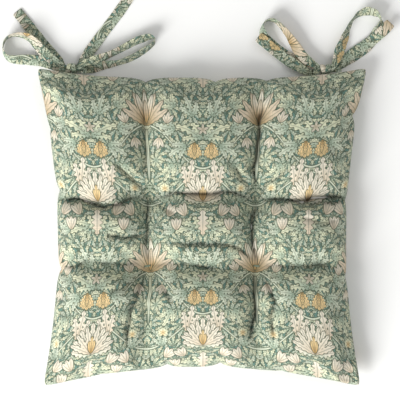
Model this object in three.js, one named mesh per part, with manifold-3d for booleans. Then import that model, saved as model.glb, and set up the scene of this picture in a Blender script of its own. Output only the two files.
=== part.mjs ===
// A chair seat pad: two cotton panels sewn edge to edge over a fibre filling, pulled together by four thread
// tufts, with two fabric ties at each back corner that are knotted in a bow.
// Millimetres, +Z up, +Y towards the chair's back. The origin is the middle of the footprint, on the seat.
import * as THREE from "three";
import { mergeVertices } from "three/addons/utils/BufferGeometryUtils.js";
import Module from "manifold-3d";

const wasm = await Module();
wasm.setup();

// ---- Driving dimensions -------------------------------------------------------------------------------------

const backWidth = 400; // across the back corners
const frontWidth = 384; // across the front corners
const depth = 386; // from the front corners to the back ones
const sideWaist = 22; // how far each edge pulls in between its corners
const backWaist = 13;
const frontWaist = 24;
const crownHeight = 56; // top of the fullest puffs
const seamHeight = 18.5; // edge seam above the seat
const flattening = 12; // how much fuller the underside would be if the seat didn't flatten it

const panelThickness = 1.2; // cotton with its turned-in seam allowance
const fillingGap = 0.6; // between the filling and each panel
const valleyWidth = 19; // half width of the valleys that run out from the tufts
const topValley = 0.34; // their depth, as a share of the height there
const undersideValley = 0.3;

const tuftSpacingX = 131;
const tuftSpacingY = 84;
const tuftOffsetY = -5; // the tufts' middle from the pad's middle
const tuftTop = 24; // height of the top panel where it is tied down
const tuftUnderside = 13;
const tuftFlat = 10.5; // radius of the level patch at each tuft
const tuftReach = 25; // how far a tuft pulls the panels in around it

const threadRadius = 0.7; // a tuft's bundle of thread
const threadSpacing = 6; // between a tuft's two legs
const threadHoleClearance = 0.45;
const tackWidth = 2.2; // the bar of stitches on each face
const tackThickness = 1.2;
const tackOverhang = 1.6; // the bar runs past each leg
const tackGap = 0.3;

const seamGap = 1.4; // between the panels' rims, where the seam thread runs
const seamThreadRadius = 0.35;
const closingLength = 180; // the last stretch of the back seam, sewn up after filling
const seamThreadBreak = 2; // between the ends of the two seam threads

const tieWidth = 13;
const tieThickness = 1.2;
const tieGather = 0.5; // a tie's width in the knot, as a share of its full width
const tieRootGap = 2.2; // from the edge seam to the start of a tie
const tieTackRadius = 0.3; // the stitches that hold it, lying in that gap
const tieTackOffset = 0.6;
const tieStep = 5; // length of a tie between its sections
const tieClearance = 0.3; // between the seat and a tie that lies on it
const leftKnotFromCorner = 42; // knot's middle from the corner, along the back edge
const rightKnotFromCorner = 51;
const knotStandOff = 6.6; // knot's middle behind the back edge
const knotHeight = 9.5;
const knotPitch = 2.1; // between the layers of tie in a knot
const knotBand = 9; // width of the turn that holds them
const knotClearance = 1;
const knotWall = 1.3;
const rootSpread = 11.4; // the left root of a bow from the knot's middle, along the edge
const rootStagger = 4.6; // its right root is that much further out

// ---- Materials ------------------------------------------------------------------------------------------------

const printedCotton = new THREE.MeshStandardMaterial({ color: 0x7f8f7a, roughness: 0.9, metalness: 0 });
const fibre = new THREE.MeshStandardMaterial({ color: 0xf1efe9, roughness: 1, metalness: 0 });
const sewingThread = new THREE.MeshStandardMaterial({ color: 0x5d7060, roughness: 0.75, metalness: 0 });

// ---- Pad shape ------------------------------------------------------------------------------------------------

const mix = (a, b, share) => a + (b - a) * share;

// The point at (u, v) of the pad's plan, where u runs from -1 at the left edge to 1 at the right one and v from
// -1 at the front to 1 at the back. An inset plan has its edges that far inside the pad's.
function planPoint(u, v, inset = 0) {
  const back = (v + 1) / 2;
  const halfWidth = mix(frontWidth, backWidth, back) / 2 - sideWaist * (1 - v * v);
  const waist = mix(frontWaist * (1 - u * u), backWaist * (1 - u ** 4), back);
  return new THREE.Vector2(u * (halfWidth - inset), v * (depth / 2 - waist - inset));
}

// The value of u, or of v, that puts a point of the plan at that distance from the middle.
function planShare(distance, along) {
  let share = distance / (backWidth / 2);
  for (let i = 0; i < 12; i++) share *= distance / along(share);
  return share;
}

const tuftU = planShare(tuftSpacingX / 2, (u) => planPoint(u, 0).x);
const tuftV = [-1, 1].map((side) =>
  planShare(tuftOffsetY + (side * tuftSpacingY) / 2, (v) => planPoint(tuftU, v).y),
);
const tufts = [
  { name: "front_left", u: -tuftU, v: tuftV[0] },
  { name: "front_right", u: tuftU, v: tuftV[0] },
  { name: "back_left", u: -tuftU, v: tuftV[1] },
  { name: "back_right", u: tuftU, v: tuftV[1] },
].map((tuft) => ({ ...tuft, at: planPoint(tuft.u, tuft.v) }));

const swell = (u, v) => Math.sqrt((1 - u ** 4) * (1 - v ** 4));
const bell = (distance, width) => Math.exp(-((distance / width) ** 2));

// How strongly the valleys act at a point, from 0 on a puff to 1 along the lines through the tufts.
function valley(point) {
  const across = tufts.map(({ at }) => bell(point.x - at.x, valleyWidth));
  const along = tufts.map(({ at }) => bell(point.y - at.y, valleyWidth));
  return Math.max(...across, ...along);
}

// How strongly a tuft holds a point: 1 on its level patch, and less and less around it.
function tuftPull(point) {
  const pulls = tufts.map(({ at }) => bell(Math.max(0, point.distanceTo(at) - tuftFlat), tuftReach));
  return Math.max(...pulls);
}

// A point of the upper or the lower face of the pad, moved inwards by inset.
function upperPoint(u, v, inset) {
  const point = planPoint(u, v, inset);
  const outer = planPoint(u, v);
  const rim = seamHeight + seamGap / 2;
  const full = swell(u, v) * (1 - topValley * valley(outer));
  const free = rim + (crownHeight - rim) * full - inset * Math.min(1, 3 * full);
  return new THREE.Vector3(point.x, point.y, mix(free, tuftTop - inset, tuftPull(outer)));
}

function lowerPoint(u, v, inset) {
  const point = planPoint(u, v, inset);
  const outer = planPoint(u, v);
  const rim = seamHeight - seamGap / 2;
  const full = swell(u, v) * (1 - undersideValley * valley(outer));
  const free = Math.max(inset, rim - (rim + flattening) * full + inset * Math.min(1, 3 * full));
  return new THREE.Vector3(point.x, point.y, mix(free, tuftUnderside + inset, tuftPull(outer)));
}

// ---- Grid -----------------------------------------------------------------------------------------------------

const outerCells = 7;
const middleCells = 6;
const patch = 0.042; // half of the narrow cell that a tuft's level patch fills

// Grid lines from -1 to 1, with a narrow cell on each tuft and finer cells towards the edges.
function gridLines([low, high]) {
  const ease = (share) => 1 - Math.cos((share * Math.PI) / 2);
  const lines = [];
  for (let i = 0; i <= outerCells; i++) lines.push(mix(-1, low - patch, ease(i / outerCells)));
  for (let i = 0; i <= middleCells; i++) lines.push(mix(low + patch, high - patch, i / middleCells));
  for (let i = 0; i <= outerCells; i++) lines.push(mix(1, high + patch, ease(1 - i / outerCells)));
  return lines;
}

const linesU = gridLines([-tuftU, tuftU]);
const linesV = gridLines(tuftV);
const cells = linesU.length - 1;

// Lays the triangles of a box's lower face the same way as its upper face's, so that stacked bodies keep their gap.
function matchDiagonals(box) {
  const { start, count } = box.groups[5];
  for (let i = start; i < start + count; i += 6) {
    const [a, b, d, , c] = box.index.array.slice(i, i + 6);
    box.index.array.set([a, b, c, a, c, d], i);
  }
}

// A closed body between two faces of the pad, each a function of (u, v).
function bodyBetween(upper, lower) {
  const body = new THREE.BoxGeometry(2, 2, 2, cells, cells, 1);
  matchDiagonals(body);
  const position = body.getAttribute("position");
  const lineAt = (lines, share) => lines[Math.round(((share + 1) / 2) * cells)];
  for (let i = 0; i < position.count; i++) {
    const u = lineAt(linesU, position.getX(i));
    const v = lineAt(linesV, position.getY(i));
    const point = position.getZ(i) > 0 ? upper(u, v) : lower(u, v);
    position.setXYZ(i, point.x, point.y, point.z);
  }
  return body;
}

// ---- Solids ---------------------------------------------------------------------------------------------------

// A geometry as a manifold-3d solid, and back.
function solidOf(geometry) {
  const bare = new THREE.BufferGeometry().setAttribute("position", geometry.getAttribute("position"));
  if (geometry.index) bare.setIndex(geometry.index);
  const merged = mergeVertices(bare, 1e-4);
  const vertProperties = merged.getAttribute("position").array;
  return new wasm.Manifold(new wasm.Mesh({ numProp: 3, vertProperties, triVerts: merged.index.array }));
}

function geometryOf(solid) {
  const { vertProperties, triVerts } = solid.getMesh();
  const geometry = new THREE.BufferGeometry();
  geometry.setAttribute("position", new THREE.BufferAttribute(vertProperties, 3));
  geometry.setIndex(new THREE.BufferAttribute(triVerts, 1));
  return geometry;
}

function upright(radius, low, high, { x, y }) {
  return new THREE.CylinderGeometry(radius, radius, high - low, 10)
    .rotateX(Math.PI / 2)
    .translate(x, y, (low + high) / 2);
}

const seatPad = new THREE.Group();

function add(name, geometry, material) {
  const mesh = new THREE.Mesh(geometry, material);
  mesh.name = name;
  seatPad.add(mesh);
}

// ---- Tufts ----------------------------------------------------------------------------------------------------

const legsOf = ({ at }) =>
  [-1, 1].map((side) => new THREE.Vector2(at.x + (side * threadSpacing) / 2, at.y));

// A loop of thread: two legs through the pad, and a bar of stitches on each face.
function tuftThread(tuft) {
  const top = tuftTop + tackGap + tackThickness / 2;
  const underside = tuftUnderside - tackGap - tackThickness / 2;
  const length = threadSpacing + 2 * (threadRadius + tackOverhang);
  const bars = [top, underside].map((z) =>
    new THREE.BoxGeometry(length, tackWidth, tackThickness).translate(tuft.at.x, tuft.at.y, z),
  );
  const legs = legsOf(tuft).map((leg) => upright(threadRadius, underside, top, leg));
  return [...bars, ...legs].map(solidOf).reduce((whole, piece) => whole.add(piece));
}

const threadHoles = tufts
  .flatMap(legsOf)
  .map((leg) => solidOf(upright(threadRadius + threadHoleClearance, -1, crownHeight, leg)));

function withThreadHoles(body) {
  return geometryOf(threadHoles.reduce((rest, hole) => rest.subtract(hole), solidOf(body)));
}

// ---- Cover and filling ----------------------------------------------------------------------------------------

const fillingInset = panelThickness + fillingGap;

const topPanel = bodyBetween(
  (u, v) => upperPoint(u, v, 0),
  (u, v) => upperPoint(u, v, panelThickness),
);
const bottomPanel = bodyBetween(
  (u, v) => lowerPoint(u, v, panelThickness),
  (u, v) => lowerPoint(u, v, 0),
);
const filling = bodyBetween(
  (u, v) => upperPoint(u, v, fillingInset),
  (u, v) => lowerPoint(u, v, fillingInset),
);

add("top_panel", withThreadHoles(topPanel), printedCotton);
add("bottom_panel", withThreadHoles(bottomPanel), printedCotton);
add("filling", withThreadHoles(filling), fibre);
for (const tuft of tufts) add(`tuft_thread_${tuft.name}`, geometryOf(tuftThread(tuft)), sewingThread);

// ---- Swept pieces ---------------------------------------------------------------------------------------------

// A section swept through stations, each {at, side, up} with the section's x along side and its y along up.
function sweep(section, stations) {
  const steps = stations.length - 1;
  const body = new THREE.ExtrudeGeometry(section, { depth: 1, steps, bevelEnabled: false });
  const position = body.getAttribute("position");
  for (let i = 0; i < position.count; i++) {
    const { at, side, up } = stations[Math.round(position.getZ(i) * steps)];
    const point = at
      .clone()
      .addScaledVector(side, position.getX(i))
      .addScaledVector(up, position.getY(i));
    position.setXYZ(i, point.x, point.y, point.z);
  }
  return body;
}

// ---- Edge seam ------------------------------------------------------------------------------------------------

// The seam's line halfway between the panels' rims, from one end of the back opening round to the other.
function seamLine() {
  const round = [
    ...linesU.map((u) => [u, 1]).filter(([u]) => u < 0).reverse(),
    ...linesV.map((v) => [-1, v]).reverse().slice(1),
    ...linesU.map((u) => [u, -1]).slice(1),
    ...linesV.map((v) => [1, v]).slice(1),
    ...linesU.map((u) => [u, 1]).filter(([u]) => u > 0).reverse().slice(1),
  ];
  return round.map(([u, v]) => {
    const point = planPoint(u, v, panelThickness / 2);
    return new THREE.Vector3(point.x, point.y, seamHeight);
  });
}

const nearClosing = (point, margin) =>
  point.y > 0 && Math.abs(point.x) < closingLength / 2 + margin;

function seamThread(points) {
  const circle = new THREE.Shape(new THREE.Path().absarc(0, 0, seamThreadRadius, 0, 2 * Math.PI).getPoints(3));
  const stations = points.map((at, i) => {
    const ahead = points[Math.min(i + 1, points.length - 1)].clone();
    const tangent = ahead.sub(points[Math.max(i - 1, 0)]).normalize();
    const up = new THREE.Vector3(0, 0, 1);
    return { at, side: up.clone().cross(tangent), up };
  });
  return sweep(circle, stations);
}

const seamPoints = seamLine();
const mainSeam = seamPoints.filter((point) => !nearClosing(point, 0));
const closingEnds = [mainSeam[0], mainSeam[mainSeam.length - 1]].map(
  (end) => new THREE.Vector3(end.x - Math.sign(end.x) * seamThreadBreak, end.y, end.z),
);
const closingSeam = [
  closingEnds[0],
  ...linesU
    .map((u) => planPoint(u, 1, panelThickness / 2))
    .filter((point) => nearClosing(point, 0))
    .map((point) => new THREE.Vector3(point.x, point.y, seamHeight)),
  closingEnds[1],
];

add("main_seam_thread", seamThread(mainSeam), sewingThread);
add("closing_seam_thread", seamThread(closingSeam.reverse()), sewingThread);

// ---- Ties -----------------------------------------------------------------------------------------------------

// The knot's middle for the left (-1) or the right (1) bow, and the edge seam behind a point of the back edge.
const backEdgeAt = (x) => planPoint(planShare(x, (u) => planPoint(u, 1).x), 1).y;

function knotAt(side) {
  const fromCorner = side < 0 ? leftKnotFromCorner : rightKnotFromCorner;
  const x = side * (backWidth / 2 - fromCorner);
  return new THREE.Vector3(x, backEdgeAt(x) + knotStandOff, knotHeight);
}

// A row of a tie's route is [x, y, lift, roll, width]: x and y from the knot's middle; lift from 0 where the tie
// touches the seat to 1 at the knot's height; roll from 0 lying flat to 90 on edge; width as a share of tieWidth.
const tieRest = tieThickness / 2 + tieClearance;
const liftTo = (z) => (z - tieRest) / (knotHeight - tieRest);
const seamLift = liftTo(seamHeight);

// A tie leaves the seam square to the edge, at the knot's left (-1) or right (1), and bends round and down into
// a layer of the knot.
function root(side, end, layer) {
  const knot = knotAt(side);
  const x = end * (end < 0 ? rootSpread : rootSpread + rootStagger);
  const y = backEdgeAt(knot.x + x) + tieRootGap - knot.y;
  const roll = end < 0 ? 0 : 180;
  const down = liftTo(knotHeight + layer * knotPitch) - seamLift;
  return [
    [x, y, seamLift, roll, tieGather],
    [0.99 * x, 0.7 * y, seamLift + 0.3 * down, roll, tieGather],
    [0.87 * x, 0.3 * y, seamLift + 0.85 * down, roll, tieGather],
  ];
}

// A pass through the knot in one of its layers, counted from its middle, to the right (1) or to the left (-1).
function through(layer, way) {
  const lift = liftTo(knotHeight + layer * knotPitch);
  return [-6.5, 0, 6.5].map((x) => [way * x, 0, lift, way > 0 ? 0 : 180, tieGather]);
}

const routes = {
  left_outer_tie: [
    ...root(-1, -1, 1.5),
    ...through(1.5, 1),
    [11, 3, 1.45, 0, 0.5],
    [19.2, 7.5, 1.3, 15, 0.7],
    [32.4, 11.5, 0.7, 40, 0.95],
    [48, 18, 0.25, 60, 1],
    [66, 26.4, 0.05, 55, 1],
    [81.6, 34.6, 0, 50, 1],
    [93.6, 38.8, 0, 60, 1],
    [100.2, 36, 0, 85, 1],
    [97.8, 29.4, 0, 105, 1],
    [87.6, 21, 0, 120, 1],
    [72, 13.2, 0, 120, 1],
    [57.6, 7.2, 0, 115, 1],
    [42, 4.2, 0.05, 135, 1],
    [26.4, 0, 0.15, 155, 0.85],
    [14.4, -0.9, 0.5, 175, 0.6],
    ...through(-1.5, -1),
    [-10.5, 2.4, 0.55, 180, 0.6],
    [-16.8, 10.8, 0.25, 180, 0.85],
    [-26.4, 20.4, 0.08, 180, 1],
    [-36, 31.8, 0, 180, 1],
    [-46.8, 45, 0, 180, 1],
    [-56.4, 57, 0, 180, 1],
    [-66.6, 69.6, 0, 180, 1],
  ],
  left_inner_tie: [
    ...root(-1, 1, 0.5),
    ...through(0.5, -1),
    [-12.5, 3.5, 1.1, 180, 0.6],
    [-22.8, 10.2, 0.95, 175, 0.85],
    [-32.4, 18.6, 0.7, 165, 1],
    [-41.4, 28.2, 0.5, 150, 1],
    [-50.4, 37.2, 0.25, 130, 1],
    [-61.2, 41, 0.05, 115, 1],
    [-72, 39.6, 0, 100, 1],
    [-80.4, 33.6, 0, 92, 1],
    [-83.4, 24, 0, 85, 1],
    [-79.8, 16, 0, 70, 1],
    [-70.8, 11.6, 0, 45, 1],
    [-56.4, 10.6, 0, 25, 1],
    [-42, 10, 0.05, 10, 1],
    [-30, 6.5, 0.2, 5, 0.9],
    [-20, 1.8, 0.55, 0, 0.7],
    [-12, -0.8, 0.86, 0, 0.55],
    ...through(-0.5, 1),
    [10.5, 4, 0.85, 0, 0.6],
    [15.6, 12, 0.7, 0, 0.85],
    [24, 24, 0.35, 0, 1],
    [33.6, 37.2, 0.1, 0, 1],
    [44.4, 51.6, 0, 0, 1],
    [55.2, 66, 0, 0, 1],
    [64.8, 79.8, 0, 0, 1],
    [70.8, 88.8, 0, 0, 1],
  ],
  right_inner_tie: [
    ...root(1, -1, 1.5),
    ...through(1.5, 1),
    [10, 4, 1.45, 0, 0.5],
    [13.5, 11.5, 1.3, 5, 0.75],
    [17.4, 22.8, 0.8, 20, 1],
    [22.8, 36, 0.35, 40, 1],
    [28.8, 50.4, 0.1, 65, 1],
    [34.8, 60.6, 0, 80, 1],
    [42.6, 67.4, 0, 60, 1],
    [51.6, 71, 0, 45, 1],
    [60, 69, 0, 55, 1],
    [66, 63, 0, 85, 1],
    [67.2, 55.2, 0, 125, 1],
    [63.6, 45.6, 0, 165, 1],
    [57.6, 36, 0, 178, 1],
    [48.6, 26, 0, 180, 1],
    [36.6, 17.2, 0, 180, 1],
    [24, 9.2, 0.1, 180, 0.9],
    [14, 2.6, 0.4, 180, 0.65],
    ...through(-1.5, -1),
    [-12, -2.6, 0.6, 180, 0.5],
    [-18, -3.8, 0.74, 180, 0.6],
    [-26, -0.6, 0.88, 180, 0.8],
    [-36, 5.4, 0.66, 180, 1],
    [-48.6, 13.6, 0.45, 180, 1],
    [-61.8, 23.8, 0.45, 180, 1],
    [-72.6, 32.8, 0.88, 180, 1],
    [-81, 39.4, 0.95, 180, 1],
  ],
  right_outer_tie: [
    ...root(1, 1, 0.5),
    ...through(0.5, -1),
    [-12, 4.6, 1.05, 180, 0.6],
    [-24, 12.6, 0.95, 172, 0.9],
    [-31.8, 21.6, 0.6, 160, 1],
    [-38.4, 32.4, 0.25, 140, 1],
    [-45, 43.2, 0.05, 120, 1],
    [-52.8, 52.6, 0, 110, 1],
    [-61.8, 58.6, 0, 105, 1],
    [-70.2, 58.8, 0, 95, 1],
    [-75.8, 53.4, 0, 85, 1],
    [-75.2, 44, 0, 50, 1],
    [-70.2, 35.4, 0, 12, 1],
    [-61.2, 27.2, 0, 0, 1],
    [-49.2, 18.4, 0, 0, 1],
    [-36, 11.4, 0.08, 0, 0.95],
    [-26, 8.2, 0.3, 0, 0.8],
    [-18, 6.6, 0.68, 0, 0.65],
    [-12, 3.6, 0.9, 0, 0.55],
    ...through(-0.5, 1),
    [12, 3.6, 0.85, 0, 0.65],
    [21.6, 10.4, 0.6, 0, 0.9],
    [33.6, 19.2, 0.3, 0, 1],
    [46.2, 28, 0.25, 0, 1],
    [58.8, 36.6, 0.5, 0, 1],
    [64.5, 41.5, 0.95, 0, 1],
    [70.2, 46.4, 1.2, 0, 1],
    [79.2, 56, 1.1, 0, 1],
  ],
};

// The tie's flat section, with its folded edges a little rounded.
function tieSection() {
  const [x, y] = [tieWidth / 2, tieThickness / 2];
  return new THREE.Shape(
    [
      [x, -y / 2],
      [x, y / 2],
      [x - y, y],
      [y - x, y],
      [-x, y / 2],
      [-x, -y / 2],
      [y - x, -y],
      [x - y, -y],
    ].map(([a, b]) => new THREE.Vector2(a, b)),
  );
}

const percent = 100; // widths are turned to percent, so that they weigh like the roll's degrees

function tie(side, route) {
  const knot = knotAt(side);
  const centres = route.map(([x, y, lift, roll, width]) => {
    const half = (tieWidth * width * Math.abs(Math.sin(THREE.MathUtils.degToRad(roll)))) / 2;
    const z = half + mix(tieRest, knotHeight, lift);
    return new THREE.Vector3(knot.x + x, knot.y + y, z);
  });
  const curve = new THREE.CatmullRomCurve3(centres, false, "centripetal");
  const turns = new THREE.CatmullRomCurve3(
    route.map(([, , , roll, width]) => new THREE.Vector3(roll, percent * width, 0)),
    false,
    "catmullrom",
    0,
  );
  const steps = Math.round(curve.getLength() / tieStep);
  const stations = [];
  for (let i = 0; i <= steps; i++) {
    const t = curve.getUtoTmapping(i / steps);
    const tangent = curve.getTangent(t);
    const { x: roll, y: width } = turns.getPoint(t);
    const flat = new THREE.Vector3(0, 0, 1).cross(tangent).normalize();
    const across = flat.clone().applyAxisAngle(tangent, THREE.MathUtils.degToRad(roll));
    const up = tangent.clone().cross(across);
    stations.push({ at: curve.getPoint(t), side: across.multiplyScalar(width / percent), up });
  }
  return sweep(tieSection(), stations);
}

// The turn of tie that holds a knot together: a band round the four layers.
function knotTurn(side) {
  const opening = [tieWidth * tieGather + 2 * knotClearance, 3 * knotPitch + tieThickness + 2 * knotClearance];
  const outline = (grow) => {
    const [x, y] = opening.map((size) => size / 2 + grow);
    const corner = 0.7 * x;
    return new THREE.Path()
      .absarc(x - corner, y - corner, corner, 0, Math.PI / 2)
      .absarc(corner - x, y - corner, corner, Math.PI / 2, Math.PI)
      .absarc(corner - x, corner - y, corner, Math.PI, 1.5 * Math.PI)
      .absarc(x - corner, corner - y, corner, 1.5 * Math.PI, 2 * Math.PI);
  };
  const band = new THREE.Shape(outline(knotWall).getPoints(4));
  band.holes.push(new THREE.Path(outline(0).getPoints(4)));
  const { x, y, z } = knotAt(side);
  return new THREE.ExtrudeGeometry(band, { depth: knotBand, bevelEnabled: false })
    .translate(0, 0, -knotBand / 2)
    .rotateZ(Math.PI / 2)
    .rotateY(Math.PI / 2)
    .translate(x, y, z);
}

// The row of stitches across the root of a tie, along the edge.
function tieTack(side, [rootX]) {
  const x = knotAt(side).x + rootX;
  const length = tieWidth * tieGather;
  const slope = (backEdgeAt(x + length / 2) - backEdgeAt(x - length / 2)) / length;
  return new THREE.CylinderGeometry(tieTackRadius, tieTackRadius, length, 8)
    .rotateZ(Math.PI / 2 + Math.atan(slope))
    .translate(x, backEdgeAt(x) + tieTackOffset, seamHeight);
}

for (const [name, route] of Object.entries(routes)) {
  const side = name.startsWith("left") ? -1 : 1;
  add(name, tie(side, route), printedCotton);
  add(`${name}_tack`, tieTack(side, route[0]), sewingThread);
}
add("left_knot", knotTurn(-1), printedCotton);
add("right_knot", knotTurn(1), printedCotton);

export default seatPad;
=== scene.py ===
"""A tufted chair seat pad in printed cotton, with a bow of fabric ties at each back corner."""

import math

import bpy
import numpy as np
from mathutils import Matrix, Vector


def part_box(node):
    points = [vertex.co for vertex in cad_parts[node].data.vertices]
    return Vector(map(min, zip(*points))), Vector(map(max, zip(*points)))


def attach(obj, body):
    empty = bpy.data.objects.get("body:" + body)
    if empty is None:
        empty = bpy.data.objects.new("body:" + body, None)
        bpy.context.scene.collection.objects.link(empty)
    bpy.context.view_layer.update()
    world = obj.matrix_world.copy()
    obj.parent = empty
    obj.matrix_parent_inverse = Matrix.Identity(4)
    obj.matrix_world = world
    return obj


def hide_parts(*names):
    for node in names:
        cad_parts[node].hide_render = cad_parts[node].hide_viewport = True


bl_info = {
    "name": "Chair Seat Pad",
    "version": (1, 0, 0),
    "blender": (4, 5, 0),
    "location": "View3D > Sidebar > Seat Pad",
    "description": "Sews a tufted seat pad over its frame, with its ties, stitches and studio",
    "category": "Object",
}

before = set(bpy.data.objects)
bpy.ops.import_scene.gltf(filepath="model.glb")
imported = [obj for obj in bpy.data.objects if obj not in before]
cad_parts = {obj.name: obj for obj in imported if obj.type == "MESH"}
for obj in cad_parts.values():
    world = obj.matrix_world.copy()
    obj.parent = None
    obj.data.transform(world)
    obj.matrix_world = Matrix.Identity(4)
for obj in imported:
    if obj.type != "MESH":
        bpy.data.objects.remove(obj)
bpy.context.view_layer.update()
MM = 0.001
PAD_LOW, PAD_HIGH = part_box("top_panel")
SEAM_LOW, SEAM_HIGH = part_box("main_seam_thread")
CLOSING_LOW, CLOSING_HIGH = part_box("closing_seam_thread")
TUFT_NAMES = ("front_left", "front_right", "back_left", "back_right")


# ---- Sizes and colours ---------------------------------------------------------------------------


def linear(code):
    """An sRGB hex colour as linear red, green, blue and alpha."""
    parts = [int(code[i : i + 2], 16) / 255 for i in (1, 3, 5)]
    return [c / 12.92 if c <= 0.04045 else ((c + 0.055) / 1.055) ** 2.4 for c in parts] + [1.0]


def length(name, description, default):
    return bpy.props.FloatProperty(
        name=name, description=description, default=default, unit="LENGTH", precision=4
    )


def ink_colour(name, description, code):
    return bpy.props.FloatVectorProperty(
        name=name, description=description, default=linear(code), size=4, subtype="COLOR", min=0, max=1
    )


class SeatPadSize(bpy.types.PropertyGroup):
    """Sizes of the pad."""

    back_width: length("Back Width", "Across the back corners", PAD_HIGH[0] - PAD_LOW[0])
    front_width: length("Front Width", "Across the front corners", 0.384)
    depth: length("Depth", "From the front corners to the back ones", PAD_HIGH[1] - PAD_LOW[1])
    side_waist: length("Side Waist", "How far each side pulls in between its corners", 0.022)
    back_waist: length("Back Waist", "How far the back pulls in between its corners", 0.013)
    front_waist: length("Front Waist", "How far the front pulls in between its corners", 0.024)
    crown_height: length("Crown Height", "Top of the fullest puffs before they swell", PAD_HIGH[2] - 0.004)
    seam_height: length("Seam Height", "Edge seam above the seat", (SEAM_LOW[2] + SEAM_HIGH[2]) / 2)
    flattening: length("Flattening", "How much fuller the underside is than the seat lets it be", 0.012)
    tuft_top: length("Tuft Top", "Top panel above the seat where it is tied down", 0.024)
    tuft_underside: length("Tuft Underside", "Underside above the seat where it is tied up", 0.013)
    tuft_reach: length("Tuft Reach", "How far a tuft pulls the panels in around it", 0.024)
    valley_width: length("Valley Width", "Half width of the valleys between the tufts", 0.019)
    cloth: length("Cloth", "Thickness of the cotton", 0.0008)
    tie_width: length("Tie Width", "Width of a tie", 0.013)
    tie_thickness: length("Tie Thickness", "Thickness of a folded tie", 0.0012)
    swelling: bpy.props.FloatProperty(
        name="Swelling", description="Pressure of the fibre on the cover", default=4.0, min=0.0
    )


class SeatPadPrint(bpy.types.PropertyGroup):
    """The print's repeat and colours."""

    repeat_width: length("Repeat Width", "Width of the mirrored repeat", 0.131)
    repeat_height: length("Repeat Height", "Height of the repeat", 0.180)
    column_middle: length("Column Middle", "Middle of a column from the pad's middle", 0.001)
    gold_row: length("Gold Row", "Row of gold flowers from the pad's middle", 0.092)
    ground: ink_colour("Ground", "Cotton between the leaves", "#628378")
    key_line: ink_colour("Key Line", "Outlines of the print", "#4c5540")
    mid_leaf: ink_colour("Mid Leaf", "Shaded side of a leaf", "#a3b49f")
    pale_leaf: ink_colour("Pale Leaf", "Light side of a leaf", "#cbd2bc")
    straw: ink_colour("Straw", "Yellowed side of a leaf", "#d8dabb")
    cream: ink_colour("Cream", "Flowers", "#e0d9c6")
    blush: ink_colour("Blush", "Shaded side of a flower", "#d8c9b0")
    gold: ink_colour("Gold", "Gold flowers and buds", "#e2c692")
    deep_gold: ink_colour("Deep Gold", "Shaded side of a gold flower", "#c39f69")
    tan: ink_colour("Tan", "Shaded side of a lily", "#b39b70")


# ---- Small helpers -------------------------------------------------------------------------------


def add_node(tree, kind, *sources, named=None, **settings):
    """Adds a node with its settings, and feeds its inputs, in order or by name, with values or nodes."""
    made = tree.nodes.new(kind)
    for name, value in settings.items():
        setattr(made, name, value)
    pairs = list(zip((socket for socket in made.inputs if socket.enabled), sources))
    pairs += [(made.inputs[name], source) for name, source in (named or {}).items()]
    for socket, source in pairs:
        if isinstance(source, bpy.types.Node):
            source = next(out for out in source.outputs if out.enabled)
        if isinstance(source, bpy.types.NodeSocket):
            tree.links.new(source, socket)
        elif source is not None:
            socket.default_value = source
    return made


def mix(a, b, share):
    return a + (b - a) * share


def bell(distance, width):
    return np.exp(-((distance / width) ** 2))


def turned(points, degrees):
    """The points turned about the vertical axis."""
    cosine, sine = math.cos(math.radians(degrees)), math.sin(math.radians(degrees))
    x, y = points[:, 0], points[:, 1]
    return np.stack([x * cosine - y * sine, x * sine + y * cosine, points[:, 2]], 1)


def new_object(name, points, faces):
    """A mesh object whose place is in its mesh."""
    mesh = bpy.data.meshes.new(name)
    mesh.from_pydata(np.asarray(points).tolist(), [], faces)
    mesh.update()
    made = bpy.data.objects.new(name, mesh)
    bpy.context.scene.collection.objects.link(made)
    return made


def points_of(piece):
    flat = np.empty(len(piece.data.vertices) * 3)
    piece.data.vertices.foreach_get("co", flat)
    return flat.reshape(-1, 3)


def set_points(piece, points):
    piece.data.vertices.foreach_set("co", np.ascontiguousarray(points).ravel())
    piece.data.update()


def normals_of(piece):
    flat = np.empty(len(piece.data.vertices) * 3)
    piece.data.vertex_normals.foreach_get("vector", flat)
    return flat.reshape(-1, 3)


def select_only(*pieces):
    bpy.ops.object.select_all(action="DESELECT")
    for piece in pieces:
        piece.select_set(True)
    bpy.context.view_layer.objects.active = pieces[0]


def edit_all():
    """Opens the active piece in edit mode with all of it selected."""
    bpy.ops.object.mode_set(mode="EDIT")
    bpy.ops.mesh.select_all(action="SELECT")


def face_outwards(piece):
    select_only(piece)
    edit_all()
    bpy.ops.mesh.normals_make_consistent(inside=False)
    bpy.ops.object.mode_set(mode="OBJECT")


def apply_modifier(piece, kind, **settings):
    """Adds a modifier to a piece with its settings and applies it."""
    modifier = piece.modifiers.new(kind.title(), kind)
    for name, value in settings.items():
        setattr(modifier, name, value)
    select_only(piece)
    bpy.ops.object.modifier_apply(modifier=modifier.name)


def write_uv(piece, name, per_vertex):
    """Gives a piece a UV map from one pair of numbers for each of its points."""
    layer = piece.data.uv_layers.new(name=name)
    corners = np.empty(len(piece.data.loops), dtype=np.int64)
    piece.data.loops.foreach_get("vertex_index", corners)
    layer.data.foreach_set("uv", np.ascontiguousarray(per_vertex[corners]).ravel())


def read_uv(piece, name):
    """The pair of numbers of a UV map at each point of a piece."""
    corners = np.empty(len(piece.data.loops), dtype=np.int64)
    piece.data.loops.foreach_get("vertex_index", corners)
    flat = np.empty(len(corners) * 2)
    piece.data.uv_layers[name].data.foreach_get("uv", flat)
    pairs = np.zeros((len(piece.data.vertices), 2))
    pairs[corners] = flat.reshape(-1, 2)
    return pairs


def finish_piece(piece, material, body, slot, *nodes):
    """Gives a piece its material, and puts it on a body of the frame in place of the nodes it stands for."""
    piece.data.materials.clear()
    piece.data.materials.append(material)
    piece.data.shade_smooth()
    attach(piece, body)
    if nodes:
        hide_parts(*nodes)


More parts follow.
